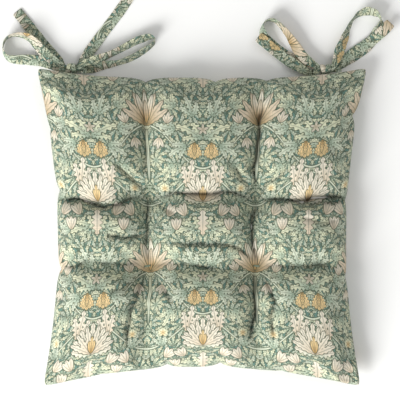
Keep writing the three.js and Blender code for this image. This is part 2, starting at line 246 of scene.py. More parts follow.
# ---- The print -----------------------------------------------------------------------------------
# Flat colours with a darker key line, in a straight repeat that is mirrored about the middle of each column.
# Places are from the column's middle and from the row of gold flowers, down positive.

# Name, across, down, turn in degrees from straight up, degrees between petals, petals each side, length,
# how much shorter each next petal is, half width, bend, teeth, colour at the base, colour at the tip.
# Lengths in mm.
MOTIFS = (
    # Leafy scrolls that fill the ground.
    ("arch leaf", 2, -14, 62, 30, 1, 34, 0.35, 3.7, 10, 0.4, "mid_leaf", "straw"),
    ("arch leaf tip", 31, -27, 75, 34, 1, 24, 0.3, 3.3, -8, 0.35, "mid_leaf", "pale_leaf"),
    ("side leaf", 19, -6, 118, 32, 1, 25, 0.3, 3.2, 6, 0.35, "mid_leaf", "pale_leaf"),
    ("low leaf", 38, 14, 158, 30, 1, 24, 0.3, 3.0, -6, 0.35, "mid_leaf", "straw"),
    ("rising leaf", 12, -40, 20, 34, 1, 26, 0.3, 3.2, 8, 0.35, "mid_leaf", "pale_leaf"),
    ("upper leaf", 30, -52, 48, 34, 1, 24, 0.3, 3.0, -6, 0.35, "mid_leaf", "straw"),
    ("outer leaf", 47, 62, 20, 32, 1, 22, 0.3, 2.9, 6, 0.35, "mid_leaf", "pale_leaf"),
    ("foot leaf", 8, 92, 105, 30, 1, 27, 0.3, 3.0, 8, 0.35, "mid_leaf", "straw"),
    ("foot leaf tip", 34, 96, 60, 34, 1, 20, 0.3, 2.9, -6, 0.35, "mid_leaf", "pale_leaf"),
    ("coiled leaf", 56, 9, 0, 51.4, 3, 8.5, 0, 2.4, 7, 0.2, "mid_leaf", "straw"),
    # Small blossoms.
    ("drop blossom", 50, -17, 168, 30, 1, 14, 0.12, 2.2, 0, 0, "blush", "cream"),
    ("high blossom", 41, -33, -14, 30, 1, 14, 0.12, 2.2, 0, 0, "blush", "cream"),
    ("star", 0, -25, 0, 72, 2, 7, 0, 1.4, 0, 0, "blush", "cream"),
    ("bud", 46, 44, 0, 60, 2, 6.5, 0, 2.8, 0, 0, "gold", "straw"),
    # The lily on the halfway line, with its stem.
    ("lily stem", 65.5, -38, 180, 30, 0, 74, 0, 1.9, 0, 0, "straw", "pale_leaf"),
    ("lily sheath", 65.5, -27, 0, 34, 1, 26, 0.1, 2.6, 0, 0, "straw", "pale_leaf"),
    ("lily leaves", 65.5, -32, 0, 19, 3, 44, 0.09, 3.7, 0, 0.12, "tan", "blush"),
    ("lily petals", 65.5, -36, 0, 17, 1, 37, 0.08, 3.3, 0, 0, "deep_gold", "cream"),
    ("lily heart", 65.5, -34, 0, 13, 0, 28, 0.1, 2.9, 0, 0, "deep_gold", "blush"),
    # The pair of gold flowers under their two leaves.
    ("gold calyx", 9.7, -9, 168, 26, 1, 15, 0.1, 3.0, 0, 0.2, "mid_leaf", "straw"),
    ("gold flower", 9.7, -10, 180, 13, 2, 20, 0.06, 2.6, 0, 0.35, "gold", "gold"),
    ("gold heart", 9.7, -10, 180, 13, 0, 15, 0, 1.8, 0, 0.3, "deep_gold", "gold"),
    # The cream fan under them, with its gold bud.
    ("fan plume", 19, 42, -12, 22, 1, 34, 0.24, 3.7, 4, 0.45, "blush", "cream"),
    ("fan leaves", 0, 62, 0, 25, 3, 38, 0.12, 3.9, 0, 0.3, "pale_leaf", "cream"),
    ("fan", 0, 61, 12.5, 25, 2, 34, 0.08, 3.1, 0, 0.2, "blush", "cream"),
    ("fan heart", 0, 60, 0, 12, 1, 20, 0.25, 2.4, 0, 0, "deep_gold", "gold"),
    # The tulips and the cone between them.
    ("tulip outer", 43, 78, -34, 22, 1, 16, 0, 2.9, 0, 0, "blush", "cream"),
    ("tulip inner", 21, 78, 28, 22, 1, 16, 0, 2.9, 0, 0, "blush", "cream"),
    ("tulip low", 32, 95, 0, 22, 1, 15, 0, 2.8, 0, 0, "blush", "cream"),
    ("cone bracts", 0, 101, 0, 26, 1, 28, 0.1, 3.6, 0, 0.5, "mid_leaf", "straw"),
    ("cone", 0, 101, 0, 60, 0, 30, 0, 5.2, 0, 0.35, "blush", "cream"),
)

# Leaf sprays that fill the ground: cells across half a repeat and down it, shift by a share of a cell,
# length, half width and bend in mm, colours.
SPRAYS = (
    (6, 16, 0.5, 11, 1.4, -4, "ground", "mid_leaf"),
    (4, 11, 0.0, 16, 1.8, 6, "mid_leaf", "pale_leaf"),
    (4, 11, 0.5, 16, 1.8, -6, "mid_leaf", "straw"),
)

# Stems that wave across the repeat: middle, swing, and length of the wave, in mm.
STEMS = ((-6, 26, 131), (46, -20, 131), (100, 12, 65.5))

ROW_TOP = -78 * MM  # where one repeat ends above the gold flowers and the next begins


def new_group(name, vectors, colours, floats, outputs):
    """An empty node group with its sockets, and the node that gives its inputs."""
    tree = bpy.data.node_groups.new(name, "ShaderNodeTree")
    kinds = {"NodeSocketVector": vectors, "NodeSocketColor": colours, "NodeSocketFloat": floats}
    for kind, names in kinds.items():
        for socket in names:
            tree.interface.new_socket(socket, in_out="INPUT", socket_type=kind)
    for socket, kind in outputs.items():
        tree.interface.new_socket(socket, in_out="OUTPUT", socket_type=kind)
    return tree, add_node(tree, "NodeGroupInput").outputs


def petal_group():
    """How far inside a fan of petals a point lies, and where it is along and across its petal."""
    floats = ("Turn", "Spacing", "Each Side", "Length", "Shorter", "Width", "Bend", "Teeth")
    outputs = dict.fromkeys(("Inside", "Along", "Across"), "NodeSocketFloat")
    tree, given = new_group("petals", ("Point", "Base"), (), floats, outputs)
    turn, spacing, each_side, length, shorter, width, bend, teeth = (given[name] for name in floats)

    def maths(operation, *values):
        return add_node(tree, "ShaderNodeMath", *values, operation=operation)

    from_base = add_node(tree, "ShaderNodeVectorMath", given["Point"], given["Base"], operation="SUBTRACT")
    reach = add_node(tree, "ShaderNodeVectorMath", from_base, operation="LENGTH")
    right = add_node(tree, "ShaderNodeVectorMath", from_base, (1, 0, 0), operation="DOT_PRODUCT")
    upward = add_node(tree, "ShaderNodeVectorMath", from_base, (0, -1, 0), operation="DOT_PRODUCT")
    heading = maths("ARCTAN2", right, upward)
    off = maths("WRAP", maths("SUBTRACT", heading, turn), math.pi, -math.pi)
    petal = maths("MINIMUM", maths("ROUND", maths("DIVIDE", off, spacing)), each_side)
    petal = maths("MAXIMUM", petal, maths("MULTIPLY", each_side, -1.0))
    swing = maths("SUBTRACT", off, maths("MULTIPLY", petal, spacing))
    cut = maths("MULTIPLY", maths("ABSOLUTE", petal), shorter)
    petal_length = maths("MULTIPLY", length, maths("SUBTRACT", 1.0, cut))
    along = maths("DIVIDE", maths("MULTIPLY", maths("COSINE", swing), reach), petal_length)
    body = maths("MULTIPLY", along, maths("SUBTRACT", 1.0, along))
    across = maths("MULTIPLY_ADD", maths("SINE", swing), reach, maths("MULTIPLY", body, bend))
    fullness = maths("POWER", maths("MAXIMUM", maths("MULTIPLY", body, 4.0), 0.0), 0.7)
    notches = maths("MULTIPLY_ADD", maths("SINE", maths("MULTIPLY", along, 30.0)), teeth, 1.0)
    half = maths("MULTIPLY", maths("MULTIPLY", fullness, notches), width)
    beyond = maths("MAXIMUM", maths("SUBTRACT", along, 1.0), maths("MULTIPLY", along, -1.0))
    beyond = maths("MULTIPLY", maths("MAXIMUM", beyond, 0.0), petal_length)
    inside = maths("SUBTRACT", maths("SUBTRACT", half, maths("ABSOLUTE", across)), beyond)
    add_node(tree, "NodeGroupOutput", inside, along, across)
    return tree


def paint_group():
    """Prints a shape with its key line and its vein over what lies below."""
    colours = ("Below", "Base", "Tip", "Key")
    outputs = {"Colour": "NodeSocketColor"}
    tree, given = new_group("paint", (), colours, ("Inside", "Along", "Across"), outputs)

    def ramp(source, *values):
        return add_node(tree, "ShaderNodeMapRange", source, *values)

    def blend(share, below, above):
        return add_node(tree, "ShaderNodeMix", share, below, above, data_type="RGBA")

    side = add_node(tree, "ShaderNodeMath", given["Across"], operation="ABSOLUTE")
    vein = ramp(side, 0.25 * MM, 0.75 * MM, 0.45, 0.0)
    colour = blend(ramp(given["Along"], 0.15, 0.7, 0.0, 1.0), given["Base"], given["Tip"])
    colour = blend(vein, colour, given["Key"])
    line = ramp(given["Inside"], -0.95 * MM, -0.4 * MM, 0.0, 1.0)
    fill = ramp(given["Inside"], -0.1 * MM, 0.4 * MM, 0.0, 1.0)
    add_node(tree, "NodeGroupOutput", blend(fill, blend(line, given["Below"], given["Key"]), colour))
    return tree


def print_group(pattern):
    """The printed colour at a point of the cloth, in metres."""
    tree, given = new_group("botanical print", ("Cloth",), (), (), {"Colour": "NodeSocketColor"})
    colours = [made.identifier for made in pattern.bl_rna.properties if made.subtype == "COLOR"]
    inks = {name: tuple(getattr(pattern, name)) for name in colours}

    def maths(operation, *values):
        return add_node(tree, "ShaderNodeMath", *values, operation=operation)

    def ramp(source, *values):
        return add_node(tree, "ShaderNodeMapRange", source, *values)

    def blend(share, below, above):
        return add_node(tree, "ShaderNodeMix", share, below, above, data_type="RGBA")

    apart = add_node(tree, "ShaderNodeSeparateXYZ", given["Cloth"])
    column = maths("SUBTRACT", apart.outputs["X"], pattern.column_middle)
    column = maths("PINGPONG", column, pattern.repeat_width / 2)
    row = maths("SUBTRACT", pattern.gold_row, apart.outputs["Y"])
    row = maths("WRAP", row, ROW_TOP + pattern.repeat_height, ROW_TOP)
    point = add_node(tree, "ShaderNodeCombineXYZ", column, row)

    petals, paint = petal_group(), paint_group()

    def print_shape(below, name, place, base, values, base_ink, tip_ink):
        """Prints a fan of petals over what lies below."""
        shape = add_node(tree, "ShaderNodeGroup", node_tree=petals, label=name)
        printed = add_node(tree, "ShaderNodeGroup", node_tree=paint, label=name)
        for socket, value in zip(shape.inputs, (place, base, *values)):
            if isinstance(value, bpy.types.NodeSocket):
                tree.links.new(value, socket)
            else:
                socket.default_value = value
        tree.links.new(below, printed.inputs["Below"])
        for socket, ink in (("Base", base_ink), ("Tip", tip_ink), ("Key", "key_line")):
            printed.inputs[socket].default_value = inks[ink]
        for socket in ("Inside", "Along", "Across"):
            tree.links.new(shape.outputs[socket], printed.inputs[socket])
        return printed.outputs[0]

    def colour_of(node):
        return next(out for out in node.outputs if out.enabled)

    # Foliage of the ground: sprays of three leaves in cells that divide the repeat, each turned its own way.
    colour = colour_of(add_node(tree, "ShaderNodeMix", 0.0, inks["ground"], inks["ground"], data_type="RGBA"))
    for across, down, shift, size, width, bend, base_ink, tip_ink in SPRAYS:
        steps = (pattern.repeat_width / 2 / across, pattern.repeat_height / down)
        cell_x = maths("ADD", maths("DIVIDE", column, steps[0]), shift)
        cell_y = maths("ADD", maths("DIVIDE", maths("SUBTRACT", row, ROW_TOP), steps[1]), shift)
        number_x, number_y = maths("FLOOR", cell_x), maths("FLOOR", cell_y)
        cells = ((cell_x, number_x), (cell_y, number_y))
        local = [maths("SUBTRACT", maths("SUBTRACT", cell, number), 0.5) for cell, number in cells]
        local = [maths("MULTIPLY", place, step) for place, step in zip(local, steps)]
        local = add_node(tree, "ShaderNodeCombineXYZ", *local)
        number = maths("MULTIPLY_ADD", maths("WRAP", number_y, float(down), 0.0), 7.0, number_x)
        number = maths("ADD", number, 100 * size + shift)
        chance = add_node(tree, "ShaderNodeTexWhiteNoise", number, noise_dimensions="1D").outputs["Value"]
        turn = maths("MULTIPLY", maths("SUBTRACT", chance, 0.5), 2 * math.pi)
        base_x = maths("MULTIPLY", maths("SINE", turn), -0.5 * size * MM)
        base_y = maths("MULTIPLY", maths("COSINE", turn), 0.5 * size * MM)
        base = add_node(tree, "ShaderNodeCombineXYZ", base_x, base_y)
        values = (turn.outputs[0], math.radians(36), 1, size * MM, 0.2, width * MM, bend * MM, 0.3)
        colour = print_shape(colour, "spray", local.outputs[0], base.outputs[0], values, base_ink, tip_ink)

    for middle, swing, wave in STEMS:
        phase = maths("COSINE", maths("MULTIPLY", column, 2 * math.pi / (wave * MM)))
        gap = maths("SUBTRACT", row, maths("MULTIPLY_ADD", phase, swing * MM, middle * MM))
        gap = maths("ABSOLUTE", gap)
        colour = blend(ramp(gap, 1.5 * MM, 2.1 * MM, 1.0, 0.0), colour, inks["key_line"])
        colour = blend(ramp(gap, 0.7 * MM, 1.2 * MM, 1.0, 0.0), colour, inks["pale_leaf"])

    colour = colour_of(colour)
    for name, x, down, angle, spacing, side, size, shorter, width, bend, teeth, base, tip in MOTIFS:
        turns = (math.radians(angle), math.radians(spacing))
        values = (*turns, side, size * MM, shorter, width * MM, bend * MM, teeth)
        colour = print_shape(colour, name, point.outputs[0], (x * MM, down * MM, 0), values, base, tip)
    add_node(tree, "NodeGroupOutput", colour)
    return tree


# ---- Materials -----------------------------------------------------------------------------------


def new_material(name):
    material = bpy.data.materials.new(name)
    material.use_nodes = True
    material.node_tree.nodes.clear()
    return material, material.node_tree


def printed_cotton(pattern):
    """Plain-woven cotton canvas, roller printed: matt, with slubs both ways and dye taken up unevenly."""
    material, tree = new_material("printed cotton canvas")

    def maths(operation, *values):
        return add_node(tree, "ShaderNodeMath", *values, operation=operation)

    cloth = add_node(tree, "ShaderNodeUVMap", uv_map="cloth")
    group = add_node(tree, "ShaderNodeGroup", node_tree=print_group(pattern))
    tree.links.new(cloth.outputs[0], group.inputs["Cloth"])

    # Slubs are about 0.5 mm across; they are drawn 1.2 mm across and 11 mm long, so that they show.
    slubs = []
    for scale in ((850, 90, 1), (90, 850, 1)):
        yarn = add_node(tree, "ShaderNodeMapping", cloth, (0, 0, 0), (0, 0, 0), scale)
        slubs.append(add_node(tree, "ShaderNodeTexNoise", yarn, 1.0, 2.0))
    slub = maths("ADD", *slubs)
    shade = add_node(tree, "ShaderNodeMapRange", slub, 0.75, 1.25, 0.86, 1.12)
    # Dye is taken up unevenly over areas of a few centimetres.
    patches = add_node(tree, "ShaderNodeTexNoise", cloth, 28.0, 3.0)
    uneven = add_node(tree, "ShaderNodeMapRange", patches, 0.3, 0.7, 0.94, 1.06)
    shade = maths("MULTIPLY", shade, uneven)
    # Painted shade: the fold attribute darkens the colour deep in the creases, where the cloth lies in shade.
    fold = add_node(tree, "ShaderNodeAttribute", attribute_name="fold").outputs["Fac"]
    shade = maths("MULTIPLY", shade, maths("MULTIPLY_ADD", fold, -0.68, 1.0))
    colour = add_node(tree, "ShaderNodeMix", 1.0, group, shade, data_type="RGBA", blend_type="MULTIPLY")

    # Canvas yarns are 0.5 mm apart; they are drawn 0.9 mm apart, so that they show.
    apart = add_node(tree, "ShaderNodeSeparateXYZ", cloth)
    yarn_turns = 2 * math.pi / (0.9 * MM)
    waves = [maths("SINE", maths("MULTIPLY", apart.outputs[way], yarn_turns)) for way in ("X", "Y")]
    relief = maths("MULTIPLY_ADD", slub, 3.0, maths("MULTIPLY", *waves))
    bump = add_node(tree, "ShaderNodeBump", named={"Strength": 0.4, "Distance": 0.12 * MM, "Height": relief})
    values = {
        "Base Color": colour,
        "Normal": bump,
        "Roughness": 0.92,
        "Specular IOR Level": 0.25,
        "Sheen Weight": 0.15,
        "Sheen Roughness": 0.6,
    }
    surface = add_node(tree, "ShaderNodeBsdfPrincipled", named=values)
    add_node(tree, "ShaderNodeOutputMaterial", surface)
    return material


def sewing_thread():
    """Spun polyester thread in three plies: matt, with its twist showing as slanting ridges."""
    material, tree = new_material("spun polyester thread")
    place = add_node(tree, "ShaderNodeTexCoord").outputs["Object"]
    slant = add_node(tree, "ShaderNodeMapping", place, (0, 0, 0), (0, 0, math.radians(35)), (1, 1, 1))
    # A ply's turn is about 0.5 mm; it is drawn 1.1 mm, so that it shows.
    ply = add_node(tree, "ShaderNodeTexWave", slant, 1 / (1.1 * MM) / math.pi, 1.5, 2.0)
    twist = ply.outputs["Fac"]
    colour = add_node(tree, "ShaderNodeMix", twist, linear("#5f6f5c"), linear("#93a08a"), data_type="RGBA")
    bump = add_node(tree, "ShaderNodeBump", named={"Strength": 0.5, "Distance": 0.1 * MM, "Height": twist})
    values = {"Base Color": colour, "Normal": bump, "Roughness": 0.7, "Sheen Weight": 0.1}
    surface = add_node(tree, "ShaderNodeBsdfPrincipled", named=values)
    add_node(tree, "ShaderNodeOutputMaterial", surface)
    return material


def polyester_fibre():
    """Carded polyester fibre: white, matt and fluffy, its strands lying in every direction."""
    material, tree = new_material("carded polyester fibre")
    place = add_node(tree, "ShaderNodeTexCoord").outputs["Object"]
    # Strands are far finer than a hair; they are drawn about 4 mm apart, so that they show.
    strands = add_node(tree, "ShaderNodeTexNoise", place, 260.0, 6.0, 0.75)
    colour = add_node(tree, "ShaderNodeMix", strands, linear("#d9d6cd"), linear("#f7f6f1"), data_type="RGBA")
    bump = add_node(tree, "ShaderNodeBump", named={"Strength": 0.6, "Distance": 1.2 * MM, "Height": strands})
    values = {"Base Color": colour, "Normal": bump, "Roughness": 1.0, "Sheen Weight": 0.3}
    surface = add_node(tree, "ShaderNodeBsdfPrincipled", named=values)
    add_node(tree, "ShaderNodeOutputMaterial", surface)
    return material


def shared_material(maker, *values):
    """A material that several pieces share, made the first time that it is asked for."""
    key = "seat pad " + maker.__name__
    for material in bpy.data.materials:
        if material.get(key):
            return material
    material = maker(*values)
    material[key] = True
    return material


# ---- Cover and filling ---------------------------------------------------------------------------

CELLS = 104  # of the cover's grid, each way, before its one subdivision

# Creases that the tufts and the filling leave in the top panel: depth, half width and points, all in mm
# from the pad's middle.
CREASES = (
    # From the left edge to the back left tuft, on to the right one, and out to the right edge.
    (4.5, 7, ((-178, 36), (-150, 33), (-118, 24), (-92, 30), (-66, 37))),
    (5.0, 6, ((-62, 38), (-20, 40), (20, 41), (40, 40), (64, 35))),
    (6.0, 6, ((68, 34), (92, 32), (118, 32), (150, 35), (178, 38))),
    (3.0, 5, ((122, 26), (148, 28), (174, 32))),
    (2.5, 5, ((118, 9), (140, 8), (166, 5))),
    # The same along the front tufts.
    (3.0, 7, ((-172, -49), (-150, -46), (-128, -41), (-95, -45), (-68, -46))),
    (3.5, 6, ((-112, -12), (-90, -11), (-68, -10))),
    (4.0, 6, ((-40, -19), (-10, -20), (16, -19), (44, -25), (62, -40))),
    (3.0, 6, ((-64, -46), (-40, -43), (-8, -46), (20, -50))),
    (3.5, 6, ((70, -48), (100, -47), (140, -46), (160, -51))),
    # Down the left tufts and on to the front edge.
    (2.5, 8, ((-72, 150), (-68, 100), (-66, 50))),
    (4.0, 7, ((-67, 42), (-65, 2), (-67, -44))),
    (3.5, 8, ((-67, -50), (-80, -88), (-92, -142))),
    # Down the right tufts, sharper, and on to the front edge.
    (5.5, 5.5, ((73, 150), (67, 110), (64, 70), (64, 38))),
    (5.5, 5.5, ((64, 34), (60, -5), (61, -20), (65, -46))),
    (5.0, 6, ((64, -50), (63, -88), (58, -136))),
    (3.5, 5, ((72, -54), (87, -88), (82, -136))),
    # Short folds that start at the tufts.
    (2.5, 4, ((-66, 40), (-88, 62), (-104, 76))),
    (2.5, 4, ((66, 38), (88, 60), (104, 72))),
    (2.5, 4, ((-66, -48), (-90, -68), (-108, -82))),
    (2.0, 4, ((66, -46), (92, -24), (110, -12))),
    (2.0, 4, ((-64, 36), (-42, 20), (-26, 14))),
    (2.0, 4, ((64, 36), (44, 62), (36, 80))),
    (2.0, 4, ((-64, -48), (-44, -72), (-34, -92))),
)

# Small tucks in the edge seam: side (1 at the back or right, -1 at the front or left), place along it and
# depth, in mm.
END_TUCKS = (
    *((1, -68, 6.0), (1, 16, 5.5), (1, 78, 4.5)),
    *((-1, 22, 6.0), (-1, -42, 5.0), (-1, 96, 2.0), (-1, -120, 1.6)),
)
SIDE_TUCKS = ((1, 134, 6.5), (1, 32, 3.0), (1, -60, 2.4), (-1, -50, 5.5), (-1, 44, 5.0), (-1, 118, 2.0))
TUCK_REACH = 12 * MM  # how far in from the seam a tuck fades
TUCK_WIDTH = 9 * MM
BLUNTING = 3.2 * MM  # how far a corner is short of its point, as it is turned out
TUFT_FLAT = 4 * MM  # radius of the level patch under a tuft's strands
MOST_SWELLING = 10 * MM
LIP = 0.25 * MM  # half the thickness of the seam's lip


def plan_point(size, u, v):
    """The point of the pad's plan at u from -1 left to 1 right, and v from -1 front to 1 back."""
    back = (v + 1) / 2
    half_width = mix(size.front_width, size.back_width, back) / 2 - size.side_waist * (1 - v * v)
    waist = mix(size.front_waist * (1 - u * u), size.back_waist * (1 - u**4), back)
    return u * half_width, v * (size.depth / 2 - waist)


def tuft_middles():
    """The middle of each tuft of the frame, seen from above."""
    boxes = [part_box(f"tuft_thread_{name}") for name in TUFT_NAMES]
    return [((low[0] + high[0]) / 2, (low[1] + high[1]) / 2) for low, high in boxes]


def tuft_pull(size, x, y):
    """How strongly the tufts hold a point, from 0 to 1, and how far the nearest one is."""
    gaps = np.array([np.hypot(x - a, y - b) for a, b in tuft_middles()]).min(axis=0)
    return bell(np.maximum(0, gaps - TUFT_FLAT), size.tuft_reach), gaps


def valley(size, x, y):
    """How strongly the valleys act at a point, from 0 on a puff to 1 along the lines through the tufts."""
    lines = [bell(x - a, size.valley_width) for a, b in tuft_middles()]
    lines += [bell(y - b, size.valley_width) for a, b in tuft_middles()]
    return np.array(lines).max(axis=0)


def grid_line():
    """The cover's grid lines from -1 to 1, a little closer together towards the edges."""
    line = np.linspace(-1, 1, CELLS + 1)
    return mix(line, np.sin(line * math.pi / 2), 0.35)


def cover_form(size):
    """The cover's outer skin before the fibre swells it, as one closed grid.

    Gives its points and faces, the two panels' grids of point numbers, each point's u and v, and which
    points are held.
    """
    line = grid_line()
    u, v = (grid.ravel() for grid in np.meshgrid(line, line, indexing="ij"))
    x, y = plan_point(size, u, v)
    swell = np.sqrt((1 - u**4) * (1 - v**4))
    pull, gaps = tuft_pull(size, x, y)
    furrow = valley(size, x, y)
    top = size.seam_height + (size.crown_height - size.seam_height) * swell * (1 - 0.40 * furrow)
    top = mix(top, size.tuft_top, pull)
    low = size.seam_height - (size.seam_height + size.flattening) * swell * (1 - 0.3 * furrow)
    low = mix(np.maximum(low, 0.001), size.tuft_underside, pull)
    edge = (np.abs(u) > 1 - 1e-9) | (np.abs(v) > 1 - 1e-9)
    ids = np.arange(len(u)).reshape(CELLS + 1, CELLS + 1)
    low_ids = np.where(edge, np.arange(len(u)), len(u) + np.cumsum(~edge) - 1).reshape(ids.shape)
    points = np.concatenate([np.stack([x, y, top], 1), np.stack([x, y, low], 1)[~edge]])

    def quads(grid, flip):
        corners = [grid[:-1, :-1], grid[1:, :-1], grid[1:, 1:], grid[:-1, 1:]]
        return np.stack(corners[::-1] if flip else corners, -1).reshape(-1, 4)

    faces = np.concatenate([quads(ids, False), quads(low_ids, True)])
    u, v = np.concatenate([u, u[~edge]]), np.concatenate([v, v[~edge]])
    tied = gaps < TUFT_FLAT
    held = np.concatenate([edge | tied, tied[~edge]])
    return points, faces, (ids, low_ids), u, v, held


def swell_cover(size, form, held):
    """Swells the cover with the fibre's pressure, as cloth held at its edge seam and its tufts."""
    select_only(form)
    group = form.vertex_groups.new(name="sewn down")
    group.add(np.flatnonzero(held).tolist(), 1.0, "REPLACE")
    cloth = form.modifiers.new("Cloth", "CLOTH")
    settings = cloth.settings
    settings.quality = 5
    settings.mass = 0.3
    settings.tension_stiffness = settings.compression_stiffness = 15
    settings.shear_stiffness = 5
    settings.bending_stiffness = 0.5
    settings.use_pressure = True
    settings.uniform_pressure_force = size.swelling
    settings.vertex_group_mass = group.name
    settings.pin_stiffness = 1
    settings.shrink_min = -0.04  # the panels are cut a little larger than the space they cover
    settings.effector_weights.gravity = 0
    cloth.collision_settings.use_collision = False
    scene = bpy.context.scene
    first, last = 1, 20
    for moment in range(first, last + 1):
        scene.frame_set(moment)
    bpy.ops.object.modifier_apply(modifier=cloth.name)
    scene.frame_set(first)
    form.vertex_groups.clear()


def capped(points, start, most):
    """The points, moved no further than that from where they start."""
    move = points - start
    distance = np.linalg.norm(move, axis=1, keepdims=True)
    return start + move * (most * np.tanh(distance / most) / np.maximum(distance, 1e-9))


def distance_to_line(x, y, line):
    """The distance to a bent line, and the share of its length at the nearest point of it."""
    nearest, share = np.full(len(x), 1e9), np.zeros(len(x))
    line = np.array(line, dtype=float)
    reach = np.concatenate([[0], np.cumsum(np.linalg.norm(np.diff(line, axis=0), axis=1))])
    for (ax, ay), (bx, by), start, end in zip(line, line[1:], reach, reach[1:]):
        along = ((x - ax) * (bx - ax) + (y - ay) * (by - ay)) / (end - start) ** 2
        along = np.clip(along, 0, 1)
        gap = np.hypot(x - mix(ax, bx, along), y - mix(ay, by, along))
        closer = gap < nearest
        nearest = np.where(closer, gap, nearest)
        share = np.where(closer, mix(start, end, along) / reach[-1], share)
    return nearest, share


def crease(points):
    """How far the creases pull each point of the top panel down, and how much painted shade it gets deep in a
    fold, 0 to 1.
    """
    x, y = points[:, 0] / MM, points[:, 1] / MM
    wobble = 1.6 * np.sin(x / 9.0 + 1.3) * np.cos(y / 11.0) + 0.8 * np.sin((x + y) / 5.0)
    fall, painted_shade = np.zeros(len(x)), np.zeros(len(x))
    for depth, width, line in CREASES:
        gap, share = distance_to_line(x + wobble, y - wobble, line)
        strength = np.minimum(1, 4 * share * (1 - share) * 1.6 + 0.12)
        fold = 0.9 * np.exp(-gap / width) + 1.3 * np.exp(-gap / (0.3 * width))
        fall += depth * strength * (fold - 0.2 * bell(gap - 2.6 * width, 1.2 * width))
        # Painted shade, darkest along the middle of each crease.
        painted_shade = np.maximum(painted_shade, np.minimum(1, depth / 4) * strength * np.exp(-gap / 2.6))
    # The painted shade also deepens where a crease falls deepest.
    return fall * MM, np.clip(0.45 * np.clip((fall - 3) / 8, 0, 1) + 0.75 * painted_shade, 0, 1)


def edge_tucks(size, u, v, x, y):
    """How far the tucks of the edge seam pull each point towards the pad's middle, across and along it."""
    pull_x, pull_y = np.zeros(len(u)), np.zeros(len(u))
    for side, place, depth in END_TUCKS:
        near = np.exp(-(1 - side * v) * size.depth / 2 / TUCK_REACH)
        pull_y -= side * depth * MM * near * np.exp(-np.abs(x - place * MM) / TUCK_WIDTH)
    for side, place, depth in SIDE_TUCKS:
        near = np.exp(-(1 - side * u) * size.back_width / 2 / TUCK_REACH)
        pull_x -= side * depth * MM * near * np.exp(-np.abs(y - place * MM) / TUCK_WIDTH)
    to_corner = np.hypot((1 - np.abs(u)) * size.back_width, (1 - np.abs(v)) * size.depth) / 2
    blunt = BLUNTING * np.exp(-to_corner / (6 * MM))
    return pull_x - np.sign(u) * blunt, pull_y - np.sign(v) * blunt


def cloth_map(size, grid, line):
    """Where each point of a grid lies on the flat cloth: its plan, and the cloth that goes down the sides."""
    half = np.array([size.back_width, size.depth]) / 2 - [0.018, 0.013]  # less the mean waist
    maps = []
    for axis in (0, 1):
        step = np.linalg.norm(np.diff(grid, axis=axis), axis=2)
        step = step if axis == 0 else step.T
        extra = np.maximum(0, step - 1.25 * np.diff(line)[:, None] * half[axis])
        total = np.concatenate([np.zeros((1, extra.shape[1])), np.cumsum(extra, axis=0)])
        total -= total[len(line) // 2]
        for _ in range(6):
            total[:, 1:-1] = (total[:, :-2] + 2 * total[:, 1:-1] + total[:, 2:]) / 4
        total += line[:, None] * half[axis]
        maps.append(total if axis == 0 else total.T)
    return np.stack(maps, 2).reshape(-1, 2)


def puckers(size, u, v):
    """Small gathers that run in from the edge seam, as a height."""
    total = np.zeros(len(u))
    for across, along, half in ((u, v, size.back_width / 2), (v, u, size.depth / 2)):
        inwards = (1 - np.abs(across)) * half
        place = along * half / MM + 7 * np.sign(across)
        wave = np.sin(place / 2.3 + 2 * np.sin(place / 17)) * (0.6 + 0.4 * np.sin(place / 11 + 1))
        total += wave * np.exp(-inwards / 0.010) * (1 - np.exp(-inwards / 0.002)) * (1 - along**8)
    return 0.9 * MM * total


def sewn_panel(name, form, uv, cloth, faces, size, top):
    """One panel of the cover, subdivided once, with creases, tucks and puckers, as cloth with a thickness."""
    used, local = np.unique(faces, return_inverse=True)
    panel = new_object(name, points_of(form)[used], local.reshape(faces.shape).tolist())
    write_uv(panel, "plan", uv[used])
    write_uv(panel, "cloth", cloth[used])
    smoothing = {"boundary_smooth": "PRESERVE_CORNERS", "uv_smooth": "PRESERVE_BOUNDARIES"}
    apply_modifier(panel, "SUBSURF", levels=1, render_levels=1, **smoothing)
    u, v = read_uv(panel, "plan").T
    points, normals = points_of(panel), normals_of(panel)
    x, y = points[:, 0].copy(), points[:, 1].copy()
    inwards = np.minimum((1 - np.abs(u)) * size.back_width, (1 - np.abs(v)) * size.depth) / 2
    points += normals * puckers(size, u, v)[:, None]
    points[:, :2] += np.stack(edge_tucks(size, u, v, x, y), 1)
    if top:
        # The creases fade towards the seam and are held up at the tufts.
        away = 1 - np.exp(-inwards / (8 * MM))
        points[:, 2] -= crease(points)[0] * away * (1 - 0.65 * tuft_pull(size, x, y)[0])
    else:
        # The seat keeps the underside up, with a soft edge to the flat it leaves.
        points[:, 2] = (points[:, 2] + np.hypot(points[:, 2], 1.2 * MM)) / 2
    # The seam's turned-in allowance makes a thin firm lip where the panels meet.
    lip = size.seam_height + (LIP if top else -LIP)
    points[:, 2] = mix(lip, points[:, 2], 1 - bell(inwards, 1.2 * MM))
    set_points(panel, points)
    apply_modifier(panel, "SOLIDIFY", thickness=size.cloth, offset=-1, use_even_offset=False, use_rim=True)
    # The fold attribute carries the painted shade of the creases into the cotton's colour.
    painted_shade = panel.data.attributes.new("fold", "FLOAT", "POINT")
    if top:
        painted_shade.data.foreach_set("value", crease(points_of(panel))[1])
    panel.data.uv_layers.remove(panel.data.uv_layers["plan"])
    return panel


